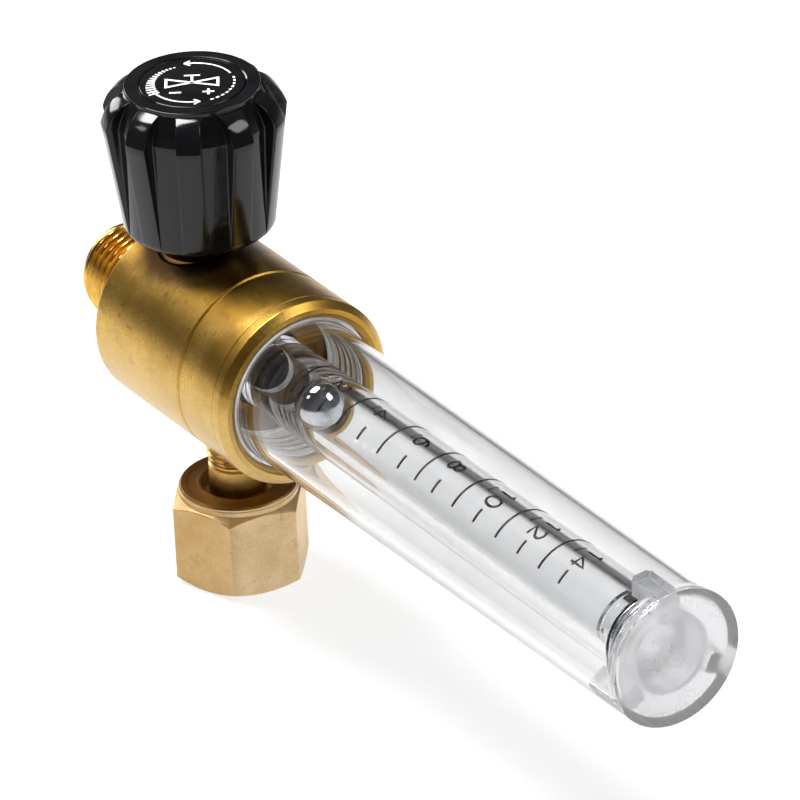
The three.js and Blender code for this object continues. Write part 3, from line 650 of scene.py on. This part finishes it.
def inlet_stem():
    segments = 96
    filter_bore_top = NUT_RIM + 4.7
    thread = threaded(-20.6, -14.2, 4.6, 0.94, 0.52, segments)
    rows = stack(
        segments,
        run((NUT_RIM, 3.3, 0.1), (NUT_RIM, 4.3, 0.12), (NUT_RIM + 0.4, 4.7, 0.1),
            (-31.2, 6.2, 0.2), (-30.5, 6.9, 0.2), (-27.9, 6.9, 0.2), (-27.9, 4.45, 0.2),
            (-20.9, 4.45, 0.1), (-20.7, 4.08)),
        thread,
        run((-14.0, 4.6), (-8.4, 4.6, 0.2), (-8.4, 2.5, 0.1), (filter_bore_top, 2.5, 0.1),
            (filter_bore_top, 3.3, 0.1)),
    )
    return lathe(rows, "Z", STEM_X, segments)


def filter_clip():
    """A flat open ring with rounded section corners and blunt ends."""
    opening = 0.5
    low, high = NUT_RIM + 0.6, NUT_RIM + 1.3
    angles = np.linspace(opening, TURN - opening, 72)
    section = outline((low, 2.4, 0.1), (low, 3.15, 0.1), (high, 3.15, 0.1), (high, 2.4, 0.1),
                      steps=2)
    rings = [
        [(STEM_X + radius * math.cos(angle), radius * math.sin(angle), height)
         for height, radius in section] for angle in angles
    ]
    return mesh_of(*skin(np.array(rings), caps=True))


def ring_profile(start, end, inner, outer, inner_round=0.12, outer_round=0.15):
    """The section of a flat ring, its inner and outer edges rounded."""
    return outline((start, inner, inner_round), (start, outer, outer_round),
                   (end, outer, outer_round), (end, inner, inner_round))


def ring_seal(radius, section, along, axis="X", flash=0.04):
    """An O-ring with the fine moulding line round its inner and outer edge."""
    angles = np.linspace(0, TURN, 28, endpoint=False)
    swell = 1 + flash * np.exp(-((np.sin(angles) / 0.12) ** 2))
    rows = np.stack([along + section * np.sin(angles), radius + section * swell * np.cos(angles)],
                    -1)
    return lathe(rows, axis, segments=144, sharp=60)


# Union nut -------------------------------------------------------------------------------------

def union_nut():
    """A hexagon bar turned to a cone at each end, with a ringed boss and a threaded bore."""
    apothem, corner_round, first_corner = 9.525, 0.35, math.radians(19.4)
    half_side = [0, 0.3, 0.6, 0.92, 1.5, 3, 5, 8, 11, 15, 19, 23, 27]
    sixth = sorted({a for h in half_side for a in (h, 60 - h)} | {30})
    offsets = np.radians([60 * k + a for k in range(6) for a in sixth if a < 60])
    from_corner = (offsets + TURN / 12) % (TURN / 6) - TURN / 12
    flat = apothem / np.cos(TURN / 12 - np.abs(from_corner))
    centre = apothem / math.cos(TURN / 12) - corner_round / math.sin(TURN / 6)
    inside = np.clip(corner_round ** 2 - (centre * np.sin(from_corner)) ** 2, 0, None)
    rounded = centre * np.cos(from_corner) + np.sqrt(inside)
    tangent = math.atan2(corner_round / 2, centre + corner_round * math.cos(TURN / 12))
    side = np.where(np.abs(from_corner) < tangent, rounded, flat)
    count = len(offsets)
    angles = offsets + first_corner

    def row(along, radius):
        return np.stack([np.broadcast_to(along, (count,)), np.broadcast_to(radius, (count,))], -1)

    top_inner, top_outer = (-25.75, 9.3), (-26.75, 11.15)
    slope = (top_outer[0] - top_inner[0]) / (top_outer[1] - top_inner[1])
    top_edge = top_inner[0] + (side - top_inner[1]) * slope
    low_slope = 0.9 / 1.6
    low_edge = NUT_RIM + (side - 9.45) * low_slope
    rows = [row(a, r) for a, r in run((NUT_RIM, 8.3), (NUT_RIM, 9.2, 0.12), (NUT_RIM + 0.02, 9.3))]
    rows += [row(np.maximum(low_edge - 0.06, NUT_RIM + 0.03), side - 0.10),
             row(np.maximum(low_edge - 0.01, NUT_RIM + 0.05), side - 0.03),
             row(low_edge + 0.07, side), row(low_edge + 0.2, side)]
    for share in np.linspace(0.04, 0.96, 12):
        rows.append(row(low_edge + share * (top_edge - low_edge), side))
    rows += [row(top_edge - 0.2, side), row(top_edge - 0.07, side), row(top_edge - 0.01, side - 0.03),
             row(top_edge + 0.04, side - 0.10)]
    rows += [row(a, r) for a, r in run(
        (-25.84, 9.45), (-25.72, 9.22, 0.1), (-25.2, 9.16, 0.06), (-25.1, 9.28, 0.04),
        (-24.95, 9.28, 0.04), (-24.85, 9.14, 0.04), (-24.6, 9.12), (-24.3, 8.85, 0.15),
        (-24.3, 8.0, 0.05), (-24.38, 7.9), (-24.38, 6.4), (-24.3, 6.2, 0.1),
        (-24.35, 5.72, 0.1), (-26.8, 5.72, 0.1), (-26.8, 7.4), (-27.4, 8.05))]
    along = np.linspace(-27.5, NUT_RIM + 1.0, 100)[:, None]
    wave = np.abs(2 * ((along / THREAD_PITCH - angles[None, :] / TURN) % 1) - 1)
    fade = np.clip((-27.4 - along) / 0.8, 0, 1) * np.clip((along - NUT_RIM - 0.7) / 0.8, 0, 1)
    groove = 8.2 - 0.8 * np.clip((wave - 0.12) / 0.76, 0, 1) * fade
    rows += [row(a[0], g) for a, g in zip(along, groove)]
    rows += [row(a, r) for a, r in run(
        (NUT_RIM + 0.9, 8.2), (NUT_RIM + 0.1, 8.2, 0.1), (NUT_RIM, 8.3, 0.1))]
    grid = np.array(rows)
    rings = np.stack([
        STEM_X + grid[..., 1] * np.cos(angles), grid[..., 1] * np.sin(angles), grid[..., 0]], -1)
    return mesh_of(*skin(rings, loop=True), 28)


# Knob and spindle ------------------------------------------------------------------------------

def bend(start, corner, end, steps):
    t = np.linspace(0, 1, steps)[:, None]
    return (1 - t) ** 2 * start + 2 * t * (1 - t) * corner + t ** 2 * end


def lobe_section(core, lobe):
    """One closed ring of the knob: lobes of one width standing on a round core."""
    step = math.pi / KNOB_LOBES
    width = LOBE_HALF_WIDTH
    rise = max(lobe - core, 0.02)
    foot_round, crest_round = min(0.2, 0.4 * rise), min(0.16, 0.4 * rise)

    def on(radius, y):
        return np.array([math.sqrt(radius ** 2 - y ** 2), y])

    foot = bend(on(core, -width - foot_round), on(core, -width),
                on(core, -width) + [foot_round, 0], 5)
    top = on(core + rise, -width)
    crest = bend(top - [crest_round, 0], top, on(core + rise, -width + crest_round), 5)
    foot_angle = math.atan2(foot[0][1], foot[0][0])
    groove = [core * np.array([math.cos(a), math.sin(a)])
              for a in np.linspace(-step, foot_angle, 6)[:-1]]
    crest_angle = math.asin((width - crest_round) / (core + rise))
    roof = [(core + rise) * np.array([math.cos(a), math.sin(a)])
            for a in np.linspace(-crest_angle, 0, 4)[1:]]
    wall = [foot[-1] + (crest[0] - foot[-1]) * t for t in (0.33, 0.67)]
    half = np.array([*groove, *foot, *wall, *crest, *roof])
    whole = np.concatenate([half, (half * [1, -1])[::-1][1:-1]])
    ring = []
    for k in range(KNOB_LOBES):
        turn = TURN * k / KNOB_LOBES
        spin = np.array([[math.cos(turn), math.sin(turn)], [-math.sin(turn), math.cos(turn)]])
        ring.append(whole @ spin)
    return np.concatenate(ring)


def knob():
    rings = []

    def add(height, flat):
        rings.append(np.column_stack([flat, np.full(len(flat), height)]))

    side_foot = 18.75
    side_height = KNOB_SHOULDER - side_foot
    lobe_gain = KNOB_LOBE_RADIUS - KNOB_BASE_RADIUS - 0.1
    for height, back in ((KNOB_BOTTOM, 1.6), (KNOB_BOTTOM, 0.9), (17.9, 0.55), (18.02, 0.32),
                         (18.25, 0.14), (18.55, 0.04)):
        add(height, lobe_section(KNOB_BASE_RADIUS - back, KNOB_BASE_RADIUS - back))
    for height in [18.85, 19.2, *np.linspace(19.8, KNOB_SHOULDER, 15)]:
        share = (height - side_foot) / side_height
        core = KNOB_BASE_RADIUS + share * (KNOB_CORE_RADIUS - KNOB_BASE_RADIUS)
        lobe = KNOB_BASE_RADIUS + 0.1 + share * lobe_gain
        add(height, lobe_section(core, max(lobe, core + 0.02)))
    foot = KNOB_SHOULDER + 0.12
    disc = np.array([KNOB_DISC_RADIUS, KNOB_DISC_FOOT])
    lobe_curve = bend(np.array([KNOB_LOBE_RADIUS - 0.05, foot]), np.array([13.1, 40.1]), disc, 15)
    core_curve = bend(np.array([KNOB_CORE_RADIUS - 0.04, foot]), np.array([11.3, 39.8]), disc, 15)
    for lobe, core in zip(lobe_curve, core_curve):
        level = np.interp(lobe[1], core_curve[:, 1], core_curve[:, 0])
        add(lobe[1], lobe_section(level, max(lobe[0], level + 0.02)))
    reference = lobe_section(KNOB_CORE_RADIUS, KNOB_LOBE_RADIUS)
    directions = reference / np.linalg.norm(reference, axis=1)[:, None]
    for height, radius in outline(
        (40.92, disc[0]), (KNOB_TOP, disc[0], 0.16), (KNOB_TOP, 8.35, 0.12), (41.42, 8.12, 0.06),
        (40.2, 8.1, 0.1), (40.2, 3.4, 0.1), (36.3, 3.4, 0.2), (36.3, 1.75, 0.1),
        (34.5, 1.75), (34.5, 4.35), (19.7, 4.35, 0.1), (19.7, 6.0, 0.2), (31.0, 6.0, 0.3),
        (31.0, 9.5, 0.4), (17.95, 10.0, 0.1),
    ):
        add(height, directions * radius)
    return mesh_of(*skin(np.array(rings), loop=True), 40)


def knob_insert():
    """A brass bush with straight knurling that the moulding grips."""
    teeth = 40
    angles = np.arange(teeth * 4) * TURN / (teeth * 4)
    ridge = 4.2 - 0.14 * np.array([0, 0.5, 1, 0.5] * teeth)
    rows = []
    for height, outer in ((19.8, None), (20.1, ridge), (24.0, ridge), (24.1, 3.8), (25.4, 3.8),
                          (25.5, ridge), (34.1, ridge), (34.4, None)):
        radius = np.full(len(angles), 3.95) if outer is None else np.broadcast_to(outer, len(angles))
        rows.append(np.stack([np.full(len(angles), height), radius], -1))
    for height in (34.4, 19.8):
        rows.append(np.stack([np.full(len(angles), height), np.full(len(angles), 2.65)], -1))
    return lathe(np.array(rows), "Z", segments=len(angles))


def spindle():
    segments = 64
    thread = threaded(7.2, 12.0, 3.0, 1.0, 0.42, segments)
    rows = stack(
        segments,
        run((6.9, 1.75), (6.9, 2.5, 0.1)), thread,
        run((12.2, 2.5), (15.2, 2.5, 0.05), (15.2, 1.9, 0.1), (16.4, 1.9, 0.1),
            (16.4, 2.5, 0.05), (34.2, 2.5, 0.2), (34.2, 1.3, 0.1), (28.0, 1.3), (27.5, 0)),
        np.array([[10.2, 0.0], [10.2, 1.75]]),
    )
    return lathe(rows, "Z", segments=segments)


def knob_screw():
    head = lathe(outline((28.5, 0), (28.5, 0.9, 0.1), (28.8, 1.15, 0.05), (36.35, 1.15, 0.1),
                         (36.35, 2.8, 0.1), (38.0, 2.8, 0.2), (38.6, 2.1, 0.3), (38.6, 0)),
                 "Z", segments=64)
    return worked(head, [block((-3.5, -0.4, 37.8), (3.5, 0.4, 39.2), 0.05)])


# Printing --------------------------------------------------------------------------------------

def stroke(points, width, film, wrap, closed=False):
    """A thin closed ribbon of ink along flat points (u, v), laid on a surface by wrap."""
    points = np.asarray(points, float)
    if closed:
        before, after = points - np.roll(points, 1, 0), np.roll(points, -1, 0) - points
    else:
        steps = np.diff(points, axis=0)
        before, after = np.vstack([steps[:1], steps]), np.vstack([steps, steps[-1:]])
    before /= np.linalg.norm(before, axis=1)[:, None]
    after /= np.linalg.norm(after, axis=1)[:, None]
    along = before + after
    along /= np.linalg.norm(along, axis=1)[:, None]
    mitre = np.clip(np.sum(along * before, axis=1), 0.6, 1)[:, None]
    side = np.stack([-along[:, 1], along[:, 0]], -1) * width / 2 / mitre
    low, high = film
    corners = ((points + side, high), (points - side, high), (points - side, low),
               (points + side, low))
    rings = np.stack([wrap(flat, level) for flat, level in corners], 1)
    return skin(rings, loop=closed, caps=not closed)


def arc(centre, radii, start, end, steps=14):
    angles = np.radians(np.linspace(start, end, steps))
    return [(centre[0] + radii[0] * math.cos(a), centre[1] + radii[1] * math.sin(a)) for a in angles]


# Each glyph is drawn in a box 1 wide and 1 high: lists of points, and True where they close.
GLYPHS = {
    "0": [(arc((0.5, 0.5), (0.46, 0.5), 0, 345, 24), True)],
    "1": [([(0.28, 0.80), (0.60, 1.0), (0.60, 0.0)], False)],
    "2": [(arc((0.48, 0.70), (0.42, 0.30), 165, -35, 14) + [(0.06, 0.0), (0.98, 0.0)], False)],
    "4": [([(0.76, 0.0), (0.76, 1.0), (0.02, 0.28), (1.0, 0.28)], False)],
    "6": [(arc((0.5, 0.31), (0.45, 0.31), 0, 345, 22), True),
          (arc((0.80, 0.36), (0.75, 0.62), 180, 98, 10), False)],
    "8": [(arc((0.5, 0.75), (0.36, 0.25), 0, 345, 20), True),
          (arc((0.5, 0.26), (0.45, 0.26), 0, 345, 20), True)],
}


def written(text, centre, height, width, gap):
    """Strokes of a number centred on a flat point: it reads along +u, with +v up."""
    pitch = width + gap
    strokes = []
    for k, letter in enumerate(text):
        left = centre[0] - width / 2 + (k - (len(text) - 1) / 2) * pitch
        for points, closed in GLYPHS[letter]:
            flat = [(left + u * width, centre[1] + (v - 0.5) * height) for u, v in points]
            strokes.append((flat, closed))
    return strokes


def scale_print():
    """The flow scale: long arcs at odd litres, short ticks and numbers at even ones."""
    levels = (TUBE_RADIUS + 0.004, TUBE_RADIUS + 0.004 + PRINT_FILM)

    def wrap(flat, level):
        angles = flat[:, 0] / TUBE_RADIUS
        taper = TUBE_DRAFT * np.clip((flat[:, 1] - TUBE_FOOT) / (TUBE_TOP - TUBE_FOOT), 0, 1)
        return np.stack([flat[:, 1], (level + taper) * np.cos(angles),
                         (level + taper) * np.sin(angles)], -1)

    marks = (31.7, 39.1, 44.2, 49.7, 55.0, 60.5, 65.0, 69.5, 74.8, 80.3, 86.0, 91.7, 97.1, 102.3)
    parts = []
    for number, x in enumerate(marks, 1):
        span = (44.0, 141.5) if number % 2 else (121.0, 141.9)
        around = np.radians(np.linspace(*span, 36 if number % 2 else 12)) * TUBE_RADIUS
        line = np.column_stack([around, np.full(len(around), x)])
        parts.append(stroke(line, PRINT_STROKE, levels, wrap))
        if number % 2 == 0:
            centre = (math.radians(91.0) * TUBE_RADIUS, x - (0.4 if number < 10 else -0.3))
            for points, closed in written(str(number), centre, 2.9, 2.0, 0.6):
                parts.append(stroke(points, PRINT_STROKE, levels, wrap, closed))
    return mesh_of(*gathered(parts))


def cap_print():
    """Turning marks on the knob's cap: arrows, plus and minus, and a valve symbol."""
    film = (41.552, 41.58)

    def wrap(flat, level):
        return np.column_stack([flat, np.full(len(flat), level)])

    def around(radius, start, end, steps=20):
        return arc((0, 0), (radius, radius), start, end, steps)

    lines = []
    for centre in (62, 242):
        lines.append((around(6.3, centre - 38, centre + 38), 0.3, False))
        tip = centre + 38
        for swing in (-0.75, 0.75):
            tail = around(6.3 + swing, tip - 7, tip - 7, 1)
            lines.append(([tail[0], around(6.3, tip + 1.5, tip + 1.5, 1)[0]], 0.3, False))
    for k in range(15):
        angle = 118 + 6.5 * k
        reach = 0.25 + 1.5 * k / 14
        inner, outer = around(5.6, angle, angle, 1)[0], around(5.6 + reach, angle, angle, 1)[0]
        lines.append(([inner, outer], 0.34, False))
    for k in range(9):
        angle = 296 + 9 * k
        lines.append((around(6.4, angle, angle + 5, 4), 0.34, False))
    bow = [(-3.9, -1.25), (-3.9, 1.25), (3.9, -1.25), (3.9, 1.25)]
    lines.append((bow, 0.42, True))
    lines.append(([(0.0, 0.0), (0.0, 2.3)], 0.36, False))
    lines.append(([(-1.2, 2.3), (1.2, 2.3)], 0.36, False))
    lines.append(([(-3.4, -3.1), (-1.6, -3.1)], 0.4, False))
    lines.append(([(1.6, -3.1), (3.4, -3.1)], 0.4, False))
    lines.append(([(2.5, -4.0), (2.5, -2.2)], 0.4, False))
    spin = math.radians(57.0)
    turn = np.array([[math.cos(spin), math.sin(spin)], [-math.sin(spin), math.cos(spin)]])
    parts = [stroke(np.array(points) @ turn, width, film, wrap, closed)
             for points, width, closed in lines]
    return mesh_of(*gathered(parts))


# Metering tube and cover -----------------------------------------------------------------------

def metering_tube():
    return lathe(outline(
        (TUBE_FOOT, 3.66, 0.12), (TUBE_FOOT, TUBE_RADIUS, 0.15),
        (TUBE_TOP, TUBE_RADIUS + TUBE_DRAFT, 0.2), (TUBE_TOP, 4.25, 0.15), (105.0, 4.25)),
        segments=128)


def float_ball():
    angles = np.linspace(0, math.pi, 49)
    rows = np.stack([BALL_X - BALL_RADIUS * np.cos(angles), BALL_RADIUS * np.sin(angles)], -1)
    rows[[0, -1], 1] = 0
    return lathe(rows, segments=96, sharp=80)


def retaining_spring():
    """A compression spring with closed end coils and blunt wire ends."""
    wire, radius, turns = 0.35, 6.1, 4.2
    start, end = TUBE_TOP + wire + 0.02, COVER_FLOOR - wire - 0.02
    count, sides = 300, 16
    t = np.linspace(0, 1, count)
    flat = 0.72
    pitch_share = np.clip((t * turns - flat) / (turns - 2 * flat), 0, 1)
    closed_rise = 1.4 * wire
    lift = (pitch_share * (end - start - 2 * closed_rise)
            + np.clip(t * turns / flat, 0, 1) * closed_rise
            + np.clip((t * turns - turns + flat) / flat, 0, 1) * closed_rise)
    along = start + lift
    angle = TURN * turns * t + 0.6
    centre = np.stack([along, radius * np.cos(angle), radius * np.sin(angle)], -1)
    tangent = np.gradient(centre, axis=0)
    tangent /= np.linalg.norm(tangent, axis=1)[:, None]
    outward = np.stack([np.zeros(count), np.cos(angle), np.sin(angle)], -1)
    outward -= tangent * np.sum(outward * tangent, axis=1)[:, None]
    outward /= np.linalg.norm(outward, axis=1)[:, None]
    across = np.cross(tangent, outward)
    around = np.arange(sides) * TURN / sides
    rings = centre[:, None, :] + wire * (
        np.cos(around)[None, :, None] * outward[:, None, :]
        + np.sin(around)[None, :, None] * across[:, None, :])
    return mesh_of(*skin(rings, caps=True), 50)


def cover_tube():
    """The cover: threaded foot, tapered wall, closed end with a gate mark, and three ribs."""
    segments = 160
    thread = threaded(19.1, 26.5, 12.75, COVER_PITCH, 0.55, segments)
    rows = stack(
        segments,
        run((18.8, 10.3, 0.15), (18.8, 12.1, 0.2)),
        thread,
        run((26.7, 12.2), (26.9, 12.2, 0.1), (26.9, COVER_RADIUS, 0.12), (27.6, 11.655),
            (COVER_END, 10.94, 0.25), (COVER_END, 1.5, 0.05), (COVER_END - 0.08, 1.35, 0.05),
            (COVER_END - 0.08, 0.55, 0.05), (COVER_END - 0.2, 0.4, 0.05), (COVER_END - 0.2, 0)),
        run((COVER_FLOOR, 0), (COVER_FLOOR, 9.75, 1.0), (100.0, 9.89), (60.0, 10.11),
            (27.0, 10.28)),
    )
    ribs = [
        block((RIB_START, 6.75, -1.6), (COVER_FLOOR + 0.5, 10.2, 1.6), 0.4, 1.6 + TURN * k / 3)
        for k in range(3)
    ]
    return worked(lathe(rows, segments=segments), ribs, "UNION")


# The pieces ------------------------------------------------------------------------------------

refine("valve_body", valve_body(), body_brass)
refine("valve_seat", lathe(outline(
    (2.0, 1.1, 0.1), (2.0, 4.05, 0.15), (4.4, 4.05, 0.15), (4.4, 1.9, 0.1), (3.8, 1.1, 0.1)),
    "Z", segments=64), nylon)
refine("bonnet_gasket", lathe(ring_profile(BONNET_FACE + 0.05, BONNET_FACE + 0.65, 5.25, 6.4),
                              "Z", segments=96), copper)
refine("bonnet", bonnet(), gland_brass)
refine("inlet_stem", inlet_stem(), stem_brass)
refine("inlet_filter", lathe(outline(
    (NUT_RIM + 1.5, 0), (NUT_RIM + 1.65, 2.2, 0.3), (NUT_RIM + 1.5, 3.1, 0.15),
    (NUT_RIM + 4.5, 3.1, 0.2), (NUT_RIM + 4.5, 0)),
    "Z", STEM_X, 64), bronze)
refine("filter_clip", filter_clip(), wire_steel)
refine("nut_slip_washer", lathe(ring_profile(-27.75, -26.95, 4.75, 7.0), "Z", STEM_X, 96),
       nylon)
refine("union_nut", union_nut(), nut_brass)
refine("needle", lathe(outline(
    (2.6, 0), (2.6, 0.3, 0.1), (6.0, 1.55, 0.3), (9.9, 1.55, 0.15), (9.9, 0)),
    "Z", segments=48), wire_steel)
refine("knob", knob(), knob_plastic)
refine("knob_cap", lathe(outline(
    (41.55, 0), (41.55, 8.0, 0.22), (40.25, 8.0, 0.1), (40.25, 3.25), (38.9, 3.25, 0.1),
    (38.9, 2.6, 0.1), (40.25, 2.6), (40.25, 0)), "Z"), knob_plastic)
add_piece("cap_print", cap_print(), cap_ink, "knob_cap")
refine("knob_insert", knob_insert(), fitting_brass)
refine("knob_screw", knob_screw(), wire_steel)
refine("spindle", spindle(), fitting_brass)
refine("spindle_oring", ring_seal(2.275, 0.33, 15.8, "Z", 0.0), rubber)
refine("tube_seat", lathe(outline(
    (16.7, 1.0, 0.15), (16.7, 6.2, 0.2), (19.4, 6.2, 0.2), (19.4, 2.2, 0.2), (18.6, 1.0, 0.2)),
    segments=96), rubber)
refine("metering_tube", metering_tube(), tube_plastic)
add_piece("scale_print", scale_print(), scale_ink, "metering_tube")
refine("ball_stop", lathe(ring_profile(111.8, 116.0, 2.6, 4.15, 0.2), segments=96),
       tube_plastic)
refine("float_ball", float_ball(), ball_steel)
refine("retaining_spring", retaining_spring(), wire_steel)
refine("cover_tube", cover_tube(), cover_plastic)
refine("cover_oring", ring_seal(11.6, 0.55, 18.15), rubber)


# Floor, light and camera -----------------------------------------------------------------------

def floor():
    """A pale seamless sheet just under the part, a little bright in itself."""
    count, reach = 24, 3.0
    grid = np.linspace(-reach, reach, count + 1)
    vertices = [(x, y, -0.0003) for y in grid for x in grid]
    faces = []
    for row in range(count):
        for column in range(count):
            low = row * (count + 1) + column
            faces.append([low, low + 1, low + count + 2, low + count + 1])
    mesh = bpy.data.meshes.new("floor")
    mesh.from_pydata(vertices, [], faces)
    finish = Finish("floor_paper", Roughness=0.9)
    cloud = finish.noise(2.0, 2.0, 0.5)
    finish.use("Base Color", finish.ramp(cloud, (0.3, 0.26), (0.7, 0.30)))
    finish.use("Emission Color", finish.ramp(cloud, (0.3, 0.95), (0.7, 0.97)))
    glow = finish.range(finish.length(finish.coordinates), 0.28, 0.50, 0.80, 0.25)
    finish.use("Emission Strength", glow)
    mesh.materials.append(finish.material)
    new_object("floor", mesh)


def softbox(name, direction, size, power):
    """A square area light that faces the part."""
    light = bpy.data.lights.new(name, "AREA")
    light.shape, light.size, light.energy = "SQUARE", size, power
    holder = new_object(name, light)
    toward = Vector(direction).normalized()
    holder.location = Vector((0, 0, 0.04)) + toward * LIGHT_DISTANCE
    holder.rotation_mode = "QUATERNION"
    holder.rotation_quaternion = toward.to_track_quat("Z", "Y")


def surroundings():
    """A dark studio that turns to grey below the horizon."""
    world = bpy.data.worlds.new("studio")
    bpy.context.scene.world = world
    world.use_nodes = True
    tree = world.node_tree
    background = tree.nodes["Background"]
    direction = tree.nodes.new("ShaderNodeTexCoord")
    split = tree.nodes.new("ShaderNodeSeparateXYZ")
    ramp = tree.nodes.new("ShaderNodeValToRGB")
    spread = tree.nodes.new("ShaderNodeMapRange")
    tree.links.new(direction.outputs["Generated"], split.inputs["Vector"])
    tree.links.new(split.outputs["Z"], spread.inputs["Value"])
    spread.inputs["From Min"].default_value = -1.0
    tree.links.new(spread.outputs["Result"], ramp.inputs["Fac"])
    tree.links.new(ramp.outputs["Color"], background.inputs["Color"])
    set_stops(ramp, ((0.0, 0.6), (0.47, 0.3), (0.5, 0.14), (0.60, 0.07), (1.0, 0.05)))


def camera():
    """A long lens, from the cover's end and above."""
    azimuth, elevation, roll = math.radians(57.64), math.radians(29.58), math.radians(-2.85)
    back = Vector((math.sin(azimuth) * math.cos(elevation),
                   -math.cos(azimuth) * math.cos(elevation), math.sin(elevation)))
    right = Vector((math.cos(azimuth), math.sin(azimuth), 0))
    up = back.cross(right)
    across = right * math.cos(roll) + up * math.sin(roll)
    upright = up * math.cos(roll) - right * math.sin(roll)
    data = bpy.data.cameras.new("camera")
    data.lens, data.sensor_width = 403.5, 36.0
    data.clip_start, data.clip_end = 0.05, 20.0
    view = new_object("camera", data)
    target = Vector((ORIGIN[0] + 0.0538, 0, ORIGIN[2] + 0.0109))
    turn = Matrix((across, upright, back)).transposed().to_4x4()
    view.matrix_world = Matrix.Translation(target + back * CAMERA_DISTANCE) @ turn
    bpy.context.scene.camera = view


floor()
softbox("key_right", (0.49, 0.47, 0.73), 0.40, 3.4)
softbox("top_left", (-0.42, -0.12, 0.90), 0.42, 16.0)
softbox("rear_left", (-0.95, -0.10, 0.30), 0.28, 2.0)
softbox("fill_left", (-0.38, -0.64, 0.67), 0.16, 0.5)
surroundings()
camera()
bpy.context.scene.view_settings.view_transform = "Standard"
